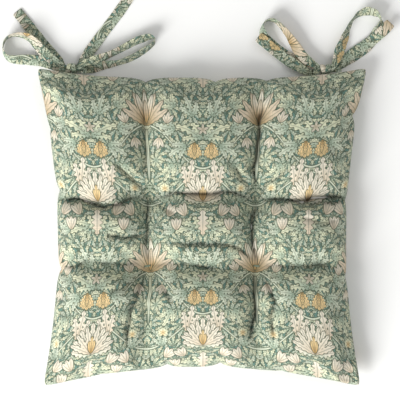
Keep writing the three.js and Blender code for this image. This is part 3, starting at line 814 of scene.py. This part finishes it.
class SEATPAD_OT_cover(bpy.types.Operator):
    """Cuts the two cotton panels, stuffs them, and sews them together with creases and puckers"""

    bl_idname = "seat_pad.cover"
    bl_label = "Cover and Filling"

    def execute(self, context):
        size, pattern = context.scene.seat_pad_size, context.scene.seat_pad_print
        points, faces, grids, u, v, held = cover_form(size)
        form = new_object("cover form", points, faces.tolist())
        swell_cover(size, form, held)
        set_points(form, capped(points_of(form), points, MOST_SWELLING))
        uv = np.stack([u, v], 1)
        maps = [np.zeros((len(u), 2)), np.zeros((len(u), 2))]
        for flat, grid in zip(maps, grids):
            flat[grid.ravel()] = cloth_map(size, points_of(form)[grid], grid_line())
        # The underside is cut from another stretch of the print.
        maps[1] = maps[1] * [-1, 1] + [0.037, 0.061]
        half = CELLS * CELLS
        top = sewn_panel("cover_top", form, uv, maps[0], faces[:half], size, True)
        underside = sewn_panel("cover_underside", form, uv, maps[1], faces[half:], size, False)
        cotton = shared_material(printed_cotton, pattern)
        finish_piece(top, cotton, "pad", "printed_cotton", "top_panel")
        finish_piece(underside, cotton, "pad", "printed_cotton", "bottom_panel")

        # The filling lies 3 mm inside the cover, and further at the creases, the edge and the corners.
        inner = points_of(form) - normals_of(form) * 3 * MM
        corner = (np.abs(u) * np.abs(v)) ** 6
        tucks = edge_tucks(size, u, v, inner[:, 0].copy(), inner[:, 1].copy())
        for axis, (way, tuck) in enumerate(zip((u, v), tucks)):
            inset = (0.8 + 9 * corner + 2.5 * np.abs(way) ** 24) * MM
            inner[:, axis] += 1.15 * tuck - np.sign(way) * inset
        above = normals_of(form)[:, 2] > 0
        inner[:, 2] -= np.where(above, 1.2 * np.maximum(crease(inner)[0], 0), 0)
        inner[:, 2] = np.maximum(inner[:, 2], 2 * MM)
        core = new_object("fibre_core", inner, faces.tolist())
        finish_piece(core, shared_material(polyester_fibre), "pad", "fibre_filling", "filling")
        bpy.data.objects.remove(form)

        # Each panel is cut 415 mm wide and 400 mm deep between its seams, with 15 mm turned in all round.
        flat = (0.445, 0.430)
        return {"FINISHED"}


# ---- Ties ----------------------------------------------------------------------------------------

KNOTS = {side: [(a + b) / 2 for a, b in zip(*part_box(f"{side}_knot"))] for side in ("left", "right")}
TIE_REST = 0.9  # middle of a tie that lies flat on the seat, in mm above it
KNOT_PITCH = 2.1  # between the layers of tie in a knot, in mm
TIE_GATHER = 0.5  # a tie's width in the knot, as a share of its own
TIE_STEP = 1.6 * MM  # between the rings of points along a tie
TIE_ROOT_GAP = 2.2  # from the edge seam to the start of a tie, in mm

# The two turns of each knot: place across the bow in mm, lean in degrees, and half width in mm.
KNOT_TURNS = {
    "left": ((-2.9, 13, 3.1), (2.9, -9, 2.9)),
    "right": ((-2.7, -11, 2.9), (3.0, 12, 3.1)),
}


def back_edge(size, x):
    """How far back the edge seam lies at a place across the pad's back, in mm."""
    u = x * MM / (size.back_width / 2)
    return plan_point(size, u, 1.0)[1] / MM


def lift_to(knot, z):
    return (z - TIE_REST) / (knot[2] / MM - TIE_REST)


def tie_routes(size):
    """Each tie's route: rows of [across, back, lift, roll, width] from its knot's middle, in mm and degrees.

    Lift runs from 0 where the tie lies on the seat to 1 at the knot's height. Roll is 0 where it lies flat
    and 90 where it stands on edge. Width is a share of the tie's own.
    """

    def rooted(side):
        knot = KNOTS[side]

        def root(end, layer):
            across = end * (11.4 if end < 0 else 16.0)
            back = back_edge(size, knot[0] / MM + across) + TIE_ROOT_GAP - knot[1] / MM
            roll = 0 if end < 0 else 180
            start = lift_to(knot, size.seam_height / MM)
            down = lift_to(knot, knot[2] / MM + layer * KNOT_PITCH) - start
            return [
                (across, back, start, roll, TIE_GATHER),
                (0.99 * across, 0.7 * back, start + 0.3 * down, roll, TIE_GATHER),
                (0.87 * across, 0.3 * back, start + 0.85 * down, roll, TIE_GATHER),
            ]

        def through(layer, way):
            lift = lift_to(knot, knot[2] / MM + layer * KNOT_PITCH)
            return [(way * across, 0, lift, 0 if way > 0 else 180, TIE_GATHER) for across in (-6.5, 0, 6.5)]

        return root, through

    left_root, left_through = rooted("left")
    right_root, right_through = rooted("right")
    return {
        "left_outer_tie": [
            *left_root(-1, 1.5),
            *left_through(1.5, 1),
            (11, 3, 1.45, 0, 0.5),
            (19.2, 7.5, 1.3, 15, 0.7),
            (32.4, 11.5, 0.7, 40, 0.95),
            (48, 18, 0.25, 60, 1),
            (66, 26.4, 0.05, 55, 1),
            (81.6, 34.6, 0, 50, 1),
            (93.6, 38.8, 0, 60, 1),
            (100.2, 36, 0, 85, 1),
            (97.8, 29.4, 0, 105, 1),
            (87.6, 21, 0, 120, 1),
            (72, 13.2, 0, 120, 1),
            (57.6, 7.2, 0, 115, 1),
            (42, 4.2, 0.05, 135, 1),
            (26.4, 0, 0.15, 155, 0.85),
            (14.4, -0.9, 0.5, 175, 0.6),
            *left_through(-1.5, -1),
            (-10.5, 2.4, 0.55, 180, 0.6),
            (-16.8, 10.8, 0.25, 180, 0.85),
            (-26.4, 20.4, 0.08, 180, 1),
            (-36, 31.8, 0, 180, 1),
            (-46.8, 45, 0, 180, 1),
            (-56.4, 57, 0, 180, 1),
            (-66.6, 69.6, 0, 180, 1),
        ],
        "left_inner_tie": [
            *left_root(1, 0.5),
            *left_through(0.5, -1),
            (-12.5, 3.5, 1.1, 180, 0.6),
            (-22.8, 10.2, 0.95, 175, 0.85),
            (-32.4, 18.6, 0.7, 165, 1),
            (-41.4, 28.2, 0.5, 150, 1),
            (-50.4, 37.2, 0.25, 130, 1),
            (-61.2, 41, 0.05, 115, 1),
            (-72, 39.6, 0, 100, 1),
            (-80.4, 33.6, 0, 92, 1),
            (-83.4, 24, 0, 85, 1),
            (-79.8, 16, 0, 70, 1),
            (-70.8, 11.6, 0, 45, 1),
            (-56.4, 10.6, 0, 25, 1),
            (-42, 10, 0.05, 10, 1),
            (-30, 6.5, 0.2, 5, 0.9),
            (-20, 1.8, 0.55, 0, 0.7),
            (-12, -0.8, 0.86, 0, 0.55),
            *left_through(-0.5, 1),
            (10.5, 4, 0.85, 0, 0.6),
            (15.6, 12, 0.7, 0, 0.85),
            (24, 24, 0.35, 0, 1),
            (33.6, 37.2, 0.1, 0, 1),
            (44.4, 51.6, 0, 0, 1),
            (55.2, 66, 0, 0, 1),
            (64.8, 79.8, 0, 0, 1),
            (70.8, 88.8, 0, 0, 1),
        ],
        "right_inner_tie": [
            *right_root(-1, 1.5),
            *right_through(1.5, 1),
            (10, 4, 1.45, 0, 0.5),
            (13.5, 11.5, 1.3, 5, 0.75),
            (17.4, 22.8, 0.8, 20, 1),
            (22.8, 36, 0.35, 40, 1),
            (28.8, 50.4, 0.1, 65, 1),
            (34.8, 60.6, 0, 80, 1),
            (42.6, 67.4, 0, 60, 1),
            (51.6, 71, 0, 45, 1),
            (60, 69, 0, 55, 1),
            (66, 63, 0, 85, 1),
            (67.2, 55.2, 0, 125, 1),
            (63.6, 45.6, 0, 165, 1),
            (57.6, 36, 0, 178, 1),
            (48.6, 26, 0, 180, 1),
            (36.6, 17.2, 0, 180, 1),
            (24, 9.2, 0.1, 180, 0.9),
            (14, 2.6, 0.4, 180, 0.65),
            *right_through(-1.5, -1),
            (-12, -2.6, 0.6, 180, 0.5),
            (-18, -3.8, 0.74, 180, 0.6),
            (-26, -0.6, 0.88, 180, 0.8),
            (-36, 5.4, 0.66, 180, 1),
            (-48.6, 13.6, 0.45, 180, 1),
            (-61.8, 23.8, 0.45, 180, 1),
            (-72.6, 32.8, 0.88, 180, 1),
            (-81, 39.4, 0.95, 180, 1),
        ],
        "right_outer_tie": [
            *right_root(1, 0.5),
            *right_through(0.5, -1),
            (-12, 4.6, 1.05, 180, 0.6),
            (-24, 12.6, 0.95, 172, 0.9),
            (-31.8, 21.6, 0.6, 160, 1),
            (-38.4, 32.4, 0.25, 140, 1),
            (-45, 43.2, 0.05, 120, 1),
            (-52.8, 52.6, 0, 110, 1),
            (-61.8, 58.6, 0, 105, 1),
            (-70.2, 58.8, 0, 95, 1),
            (-75.8, 53.4, 0, 85, 1),
            (-75.2, 44, 0, 50, 1),
            (-70.2, 35.4, 0, 12, 1),
            (-61.2, 27.2, 0, 0, 1),
            (-49.2, 18.4, 0, 0, 1),
            (-36, 11.4, 0.08, 0, 0.95),
            (-26, 8.2, 0.3, 0, 0.8),
            (-18, 6.6, 0.68, 0, 0.65),
            (-12, 3.6, 0.9, 0, 0.55),
            *right_through(-0.5, 1),
            (12, 3.6, 0.85, 0, 0.65),
            (21.6, 10.4, 0.6, 0, 0.9),
            (33.6, 19.2, 0.3, 0, 1),
            (46.2, 28, 0.25, 0, 1),
            (58.8, 36.6, 0.5, 0, 1),
            (64.5, 41.5, 0.95, 0, 1),
            (70.2, 46.4, 1.2, 0, 1),
            (79.2, 56, 1.1, 0, 1),
        ],
    }


def through_points(points, rows, step):
    """A smooth route through points: its places, tangents, rolls and widths, about a step apart."""
    ends = [2 * points[0] - points[1], *points, 2 * points[-1] - points[-2]]
    places, extras = [], []
    fine = 24
    for i in range(len(points) - 1):
        p0, p1, p2, p3 = ends[i : i + 4]
        d0, d1, d2 = (math.sqrt(np.linalg.norm(b - a)) for a, b in ((p0, p1), (p1, p2), (p2, p3)))
        m1 = ((p1 - p0) / d0 - (p2 - p0) / (d0 + d1) + (p2 - p1) / d1) * d1
        m2 = ((p2 - p1) / d1 - (p3 - p1) / (d1 + d2) + (p3 - p2) / d2) * d1
        for t in np.arange(fine) / fine:
            curve = (2 * t**3 - 3 * t**2 + 1) * p1 + (t**3 - 2 * t**2 + t) * m1
            places.append(curve + (3 * t**2 - 2 * t**3) * p2 + (t**3 - t**2) * m2)
            extras.append(mix(rows[i], rows[i + 1], t * t * (3 - 2 * t)))
    places, extras = np.array([*places, points[-1]]), np.array([*extras, rows[-1]])
    reach = np.concatenate([[0], np.cumsum(np.linalg.norm(np.diff(places, axis=0), axis=1))])
    count = round(reach[-1] / step)
    even = np.linspace(0, reach[-1], count + 1)
    places = np.stack([np.interp(even, reach, places[:, k]) for k in range(3)], 1)
    extras = np.stack([np.interp(even, reach, extras[:, k]) for k in range(2)], 1)
    tangents = np.gradient(places, axis=0)
    tangents /= np.linalg.norm(tangents, axis=1, keepdims=True)
    return places, tangents, extras[:, 0], extras[:, 1], even


def closed_tube(rings):
    """Points and faces of a tube with flat ends through rings of points."""
    count, around = rings.shape[:2]
    faces = []
    for i in range(count - 1):
        for j in range(around):
            k = (j + 1) % around
            faces.append((i * around + j, i * around + k, (i + 1) * around + k, (i + 1) * around + j))
    faces.append(tuple(range(around))[::-1])
    faces.append(tuple((count - 1) * around + j for j in range(around)))
    return rings.reshape(-1, 3), faces


def tie_rings(size, route, knot):
    """Rings of points round a tie, its route, and where it lies on the cloth it was cut from."""
    points, rows = [], []
    for across, back, lift, roll, width in route:
        half = size.tie_width / MM * width * abs(math.sin(math.radians(roll))) / 2
        z = half + mix(TIE_REST, knot[2] / MM, lift)
        points.append(np.array([knot[0] + across * MM, knot[1] + back * MM, z * MM]))
        rows.append(np.array([math.radians(roll), width]))
    places, tangents, rolls, widths, even = through_points(points, rows, TIE_STEP)
    flat = np.cross([0, 0, 1], tangents)
    flat /= np.linalg.norm(flat, axis=1, keepdims=True)
    upright = np.cross(tangents, flat)
    side = flat * np.cos(rolls)[:, None] + upright * np.sin(rolls)[:, None]
    up = np.cross(tangents, side)

    # The tie is a folded strip: thicker along its two folds, and gathered into pleats where it is narrowed.
    share = np.linspace(-1, 1, 17)
    fold = 0.72 + 0.28 * np.abs(share) ** 3
    over = 0.5 * size.tie_thickness * fold * np.minimum(1, 8 * (1 - np.abs(share)) + 0.35)
    across = np.concatenate([share, share[::-1]])
    lift = np.concatenate([-over, over[::-1]])
    gathered = np.clip((1 - widths) * 2, 0, 1)
    from_knot = np.linalg.norm(places - np.array(knot), axis=1)
    loose = np.clip((from_knot - 6 * MM) / (8 * MM), 0.35, 1)
    pleats = 1.1 * MM * gathered * loose
    drift = 0.6 * np.sin(even / (35 * MM))
    wave = pleats[:, None] * np.sin(across[None] * 3.2 * math.pi + drift[:, None])
    # Where it is free it buckles a little, and its folds wander.
    buckle = 0.7 * MM * (1 - gathered) * np.sin(even / (7.5 * MM) + 1.7 * np.sin(even / (21 * MM)))
    height = lift[None] + wave + buckle[:, None] * across[None] ** 2
    wander = 1 + 0.035 * np.sin(even / (11 * MM) + 1) * np.sin(even / (4.7 * MM))
    reach = across[None] * (size.tie_width / 2 * widths * wander)[:, None]
    rings = places[:, None] + side[:, None] * reach[..., None] + up[:, None] * height[..., None]
    rings[..., 2] = np.maximum(rings[..., 2], 0.1 * MM)
    # The far end is folded in and stitched down, so it is a little rounded.
    for ring, near in ((-1, 0.86), (-2, 0.97)):
        rings[ring] = places[ring] + (rings[ring] - places[ring]) * near
    return rings, places, across, even


class SEATPAD_OT_ties(bpy.types.Operator):
    """Folds the four fabric ties and lays them in their bows"""

    bl_idname = "seat_pad.ties"
    bl_label = "Ties"

    def execute(self, context):
        size = context.scene.seat_pad_size
        cotton = shared_material(printed_cotton, context.scene.seat_pad_print)
        for place, (name, route) in enumerate(tie_routes(size).items()):
            side, which, _ = name.split("_")
            rings, places, across, even = tie_rings(size, route, KNOTS[side])
            points, faces = closed_tube(rings)
            tie = new_object(f"tie_{side}_{which}", points, faces)
            # Each tie is cut along the width of the cloth, from its own stretch of the print.
            along = np.repeat(even, len(across))
            over = np.tile(np.where(np.arange(len(across)) < len(across) // 2, 1, -1), len(even))
            cut = np.tile(across, len(even)) * size.tie_width / 2
            write_uv(tie, "cloth", np.stack([along + 0.04 * place, cut * over + 0.052 * place - 0.02], 1))
            finish_piece(tie, cotton, f"{side}_bow", "printed_cotton", name)
        return {"FINISHED"}


def knot_turn(knot, half_back, half_high, shift, lean, half_width):
    """One swollen and pleated turn of a knot: its two counts, its points, and their places on the cloth."""
    around, across = 72, 22
    points, cloth = [], []
    for i in range(around):
        angle = 2 * math.pi * i / around
        way_back, way_up = (math.copysign(abs(way) ** 0.8, way) for way in (math.cos(angle), math.sin(angle)))
        slip = shift * MM + math.tan(math.radians(lean)) * way_back * half_back
        swelling = 1 + 0.10 * math.sin(3 * angle + shift) + 0.06 * math.sin(7 * angle)
        for j in range(across):
            turn = 2 * math.pi * j / across
            height = math.sin(turn)
            outside = height > -0.2
            pleat = 0.26 * outside * math.sin(6 * turn + 1.6 * math.sin(2 * angle + shift))
            out = (1.35 * math.copysign(abs(height) ** 0.75, height) + pleat) * MM
            x = knot[0] + math.cos(turn) * half_width * swelling * MM + slip
            points.append((x, knot[1] + way_back * (half_back + out), knot[2] + way_up * (half_high + out)))
            cloth.append((0.03 + i / around * 0.036 + 0.05 * shift, j / across * 0.018))
    return around, across, points, cloth


class SEATPAD_OT_knots(bpy.types.Operator):
    """Wraps the pleated turns of fabric round the middle of each bow"""

    bl_idname = "seat_pad.knots"
    bl_label = "Knots"

    def execute(self, context):
        cotton = shared_material(printed_cotton, context.scene.seat_pad_print)
        for side, knot in KNOTS.items():
            low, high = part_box(f"{side}_knot")
            half_back, half_high = ((high[axis] - low[axis]) / 2 - 0.9 * MM for axis in (1, 2))
            points, faces, cloth = [], [], []
            for turn in KNOT_TURNS[side]:
                start = len(points)
                around, across, turn_points, turn_cloth = knot_turn(knot, half_back, half_high, *turn)
                points += turn_points
                cloth += turn_cloth
                for i in range(around):
                    here, ahead = i * across, (i + 1) % around * across
                    for j in range(across):
                        k = (j + 1) % across
                        corners = (here + j, here + k, ahead + k, ahead + j)
                        faces.append(tuple(start + corner for corner in corners))
            wrap = new_object(f"knot_{side}", points, faces)
            write_uv(wrap, "cloth", np.array(cloth))
            finish_piece(wrap, cotton, f"{side}_bow", "printed_cotton", f"{side}_knot")
        return {"FINISHED"}


# ---- Stitches ------------------------------------------------------------------------------------


# The five strands of a tuft: how far back each crosses and how high it lies, in mm, and its turn in degrees.
STRANDS = ((-0.8, 0.0, 4), (-0.4, 0.35, -3), (0.0, 0.0, 2), (0.42, 0.3, -4), (0.85, -0.05, 3))
STRAND_RADIUS = 0.35 * MM
TUFT_TURNS = {"front_left": 6, "front_right": -9, "back_left": -5, "back_right": 11}  # degrees


def strand_loop(half_span, low, high, bend):
    """One strand: a round section that goes up one leg, crosses, comes down and closes below."""
    bpy.ops.object.select_all(action="DESELECT")
    start = (-half_span, 0, low + bend)
    bpy.ops.mesh.primitive_circle_add(vertices=8, radius=STRAND_RADIUS, fill_type="NGON", location=start)
    bpy.ops.object.transform_apply(location=True, rotation=True, scale=True)
    edit_all()
    leg, crossing = high - low - 2 * bend, 2 * (half_span - bend)
    moves = ((0, 0, leg), (crossing, 0, 0), (0, 0, -leg), (-crossing, 0, 0))
    pivots = ((-1, high - bend), (1, high - bend), (1, low + bend), (-1, low + bend))
    for move, (side, height) in zip(moves, pivots):
        pivot = (side * (half_span - bend), 0, height)
        bpy.ops.mesh.extrude_region_move(TRANSFORM_OT_translate={"value": move})
        bpy.ops.mesh.spin(steps=5, angle=math.pi / 2, center=pivot, axis=(0, 1, 0))
    bpy.ops.mesh.select_all(action="SELECT")
    bpy.ops.mesh.remove_doubles(threshold=0.02 * MM)
    bpy.ops.object.mode_set(mode="OBJECT")
    return bpy.context.object


class SEATPAD_OT_tufts(bpy.types.Operator):
    """Ties the pad down with a loop of strands through each tuft"""

    bl_idname = "seat_pad.tufts"
    bl_label = "Tufts"

    def execute(self, context):
        thread = shared_material(sewing_thread)
        low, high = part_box("tuft_thread_back_left")
        half_span = (high[0] - low[0]) / 2 - 1.6 * MM
        strands = []
        for number, (back, up, turn) in enumerate(STRANDS):
            strand = strand_loop(half_span, low[2], high[2], (0.9 + 0.15 * (number % 2)) * MM)
            points = turned(points_of(strand), turn)
            points[:, 1] += back * MM
            points[:, 2] += np.where(points[:, 2] > (low[2] + high[2]) / 2, up, -up) * MM
            set_points(strand, points)
            strands.append(strand)
        select_only(*strands)
        bpy.ops.object.join()
        model = context.object
        face_outwards(model)
        for name, (x, y) in zip(TUFT_NAMES, tuft_middles()):
            loop = bpy.data.objects.new(f"tuft_strands_{name}", model.data.copy())
            context.scene.collection.objects.link(loop)
            set_points(loop, turned(points_of(loop), TUFT_TURNS[name]) + [x, y, 0])
            finish_piece(loop, thread, "pad", "sewing_thread", f"tuft_thread_{name}")
        bpy.data.objects.remove(model)
        return {"FINISHED"}


def seam_line(size, u, v):
    """Points of the edge seam, tucks included."""
    x, y = plan_point(size, u, v)
    pull_x, pull_y = edge_tucks(size, u, v, x, y)
    return np.stack([x + pull_x, y + pull_y], 1)


def seam_round(size, count):
    """Points round the edge seam, in order from the middle of the back, with that many to a side."""
    sides = np.linspace(-1, 1, count, endpoint=False)
    ones = np.ones(count)
    u = np.concatenate([-sides, -ones, sides, ones])
    v = np.concatenate([ones, -sides, -ones, sides])
    return seam_line(size, np.roll(u, -(count // 2)), np.roll(v, -(count // 2)))


def machine_seam(size, edge, kept):
    """A seam of machine stitches 3 mm long along the kept points of the edge, that dip in at their ends."""
    ahead = np.roll(edge, -1, axis=0) - np.roll(edge, 1, axis=0)
    ahead /= np.linalg.norm(ahead, axis=1, keepdims=True)
    inwards = np.stack([-ahead[:, 1], ahead[:, 0]], 1)[kept]
    reach = np.concatenate([[0], np.cumsum(np.linalg.norm(np.diff(edge, axis=0), axis=1))])[kept]
    middle = edge[kept] + inwards * 0.35 * MM
    radius = 0.4 * MM * (0.55 + 0.45 * np.abs(np.sin(math.pi * reach / (3 * MM))))
    turns = np.arange(8) * math.pi / 4
    out = -inwards[:, None] * np.cos(turns)[None, :, None] * radius[:, None, None]
    rings = np.concatenate([middle[:, None] + out, np.zeros((*out.shape[:2], 1))], 2)
    rings[..., 2] = size.seam_height - np.sin(turns)[None] * radius[:, None]
    return new_object("edge_seam_stitches", *closed_tube(rings))


def whip_stitch():
    """One whip stitch: a narrow leaning ring round the seam, as points and faces."""
    bpy.ops.object.select_all(action="DESELECT")
    bpy.ops.mesh.primitive_torus_add(
        major_segments=14, minor_segments=6, major_radius=1.4 * MM, minor_radius=0.28 * MM
    )
    stitch = bpy.context.object
    edit_all()
    bpy.ops.transform.resize(value=(0.62, 1, 1), center_override=(0, 0, 0))
    bpy.ops.object.mode_set(mode="OBJECT")
    model = points_of(stitch)
    ring = np.stack([model[:, 2] + 0.35 * model[:, 0], model[:, 1], model[:, 0]], 1)
    faces = [tuple(face.vertices) for face in stitch.data.polygons]
    bpy.data.objects.remove(stitch)
    return ring, faces


class SEATPAD_OT_seams(bpy.types.Operator):
    """Runs the machine seam round the edge, closes the back with whip stitches, and sews on the ties"""

    bl_idname = "seat_pad.seams"
    bl_label = "Seams"

    def execute(self, context):
        size = context.scene.seat_pad_size
        thread = shared_material(sewing_thread)
        closing = max(abs(CLOSING_LOW[0]), abs(CLOSING_HIGH[0]))
        edge = seam_round(size, 260)
        kept = np.flatnonzero((edge[:, 1] < 0) | (np.abs(edge[:, 0]) >= closing))
        machine = machine_seam(size, edge, kept)
        finish_piece(machine, thread, "pad", "sewing_thread", "main_seam_thread")

        # The whip stitches are copies of one, 5 mm apart, each leaning its own way.
        ring, ring_faces = whip_stitch()
        back = seam_line(size, np.linspace(-0.7, 0.7, 300), np.ones(300))
        points, faces = [], []
        for number, x in enumerate(np.arange(-closing + 2 * MM, closing - 1 * MM, 5 * MM)):
            place = ring * (1 + 0.08 * math.sin(number * 1.7))
            place[:, 0] += 0.25 * math.sin(number * 2.1) * place[:, 2]
            points.append(place + [x, np.interp(x, *back.T) - 1.3 * MM, size.seam_height])
            faces += [tuple(number * len(ring) + corner for corner in face) for face in ring_faces]
        whip = new_object("closing_whip_stitches", np.concatenate(points), faces)
        face_outwards(whip)
        finish_piece(whip, thread, "pad", "sewing_thread", "closing_seam_thread")

        # The ties' rows of stitches keep the frame's shape.
        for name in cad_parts:
            if name.endswith("_tack"):
                tack = bpy.data.objects[name]
                tack.data.materials.clear()
                tack.data.materials.append(thread)
        return {"FINISHED"}


# ---- Stage ---------------------------------------------------------------------------------------


SKY_STRENGTH = 0.45

# Name, place, size and power of each light. The key comes low over the front left corner.
LIGHTS = (
    ("key", (-1.5, -1.6, 1.35), 1.3, 83),
    ("fill", (1.6, 1.2, 2.2), 2.0, 12),
)
CAMERA_PLACE = (-0.0024, 0.0324, 2.6)
SENSOR_WIDTH = 36
FRAME_WIDTH = 0.480  # what the camera sees across, at the height of the pad's middle
FRAME_HEIGHT = 0.03


class SEATPAD_OT_stage(bpy.types.Operator):
    """Lays the pale floor, hangs the soft lights and sets the camera straight above the pad"""

    bl_idname = "seat_pad.stage"
    bl_label = "Stage"

    def execute(self, context):
        scene = context.scene
        bpy.ops.object.select_all(action="DESELECT")
        bpy.ops.mesh.primitive_plane_add(size=6, location=(0, 0, -0.0005))
        floor = context.object
        floor.name = "studio_floor"
        bpy.ops.object.transform_apply(location=True, rotation=True, scale=True)
        # Matt white paper.
        paper, tree = new_material("white paper")
        values = {"Base Color": linear("#fbfbf9"), "Roughness": 0.95, "Specular IOR Level": 0.1}
        surface = add_node(tree, "ShaderNodeBsdfPrincipled", named=values)
        add_node(tree, "ShaderNodeOutputMaterial", surface)
        floor.data.materials.append(paper)

        world = bpy.data.worlds.new("studio")
        scene.world = world
        world.use_nodes = True
        world.node_tree.nodes.clear()
        sky = add_node(world.node_tree, "ShaderNodeBackground", (1.0, 1.0, 1.0, 1.0), SKY_STRENGTH)
        add_node(world.node_tree, "ShaderNodeOutputWorld", sky)

        for name, place, width, power in LIGHTS:
            bpy.ops.object.light_add(type="AREA", location=place)
            lamp = context.object
            lamp.name = name
            lamp.data.size = width
            lamp.data.energy = power
            x, y, z = place
            lamp.rotation_euler = (math.atan2(math.hypot(x, y), z), 0, math.atan2(-y, -x) - math.pi / 2)

        bpy.ops.object.camera_add(location=CAMERA_PLACE, rotation=(0, 0, 0))
        camera = context.object
        camera.data.sensor_width = SENSOR_WIDTH
        camera.data.lens = SENSOR_WIDTH * (CAMERA_PLACE[2] - FRAME_HEIGHT) / FRAME_WIDTH
        camera.data.clip_end = 20
        scene.camera = camera
        scene.view_settings.view_transform = "Standard"
        scene.view_settings.look = "None"
        return {"FINISHED"}


# ---- Add-on --------------------------------------------------------------------------------------

OPERATORS = (
    SEATPAD_OT_stage,
    SEATPAD_OT_knots,
    SEATPAD_OT_ties,
    SEATPAD_OT_cover,
    SEATPAD_OT_tufts,
    SEATPAD_OT_seams,
)


class SEATPAD_PT_panel(bpy.types.Panel):
    """Sizes and steps of the seat pad"""

    bl_label = "Seat Pad"
    bl_idname = "SEATPAD_PT_panel"
    bl_space_type = "VIEW_3D"
    bl_region_type = "UI"
    bl_category = "Seat Pad"

    def draw(self, context):
        for group in (context.scene.seat_pad_size, context.scene.seat_pad_print):
            column = self.layout.column(align=True)
            for name in group.__annotations__:
                column.prop(group, name)
        for operator in OPERATORS:
            self.layout.operator(operator.bl_idname)


CLASSES = (SeatPadSize, SeatPadPrint, *OPERATORS, SEATPAD_PT_panel)


def register():
    for made in CLASSES:
        bpy.utils.register_class(made)
    bpy.types.Scene.seat_pad_size = bpy.props.PointerProperty(type=SeatPadSize)
    bpy.types.Scene.seat_pad_print = bpy.props.PointerProperty(type=SeatPadPrint)


def unregister():
    del bpy.types.Scene.seat_pad_print
    del bpy.types.Scene.seat_pad_size
    for made in reversed(CLASSES):
        bpy.utils.unregister_class(made)


def main():
    register()
    bpy.ops.seat_pad.stage()
    bpy.ops.seat_pad.knots()
    bpy.ops.seat_pad.ties()
    bpy.ops.seat_pad.cover()
    bpy.ops.seat_pad.tufts()
    bpy.ops.seat_pad.seams()


if __name__ == "__main__":
    main()
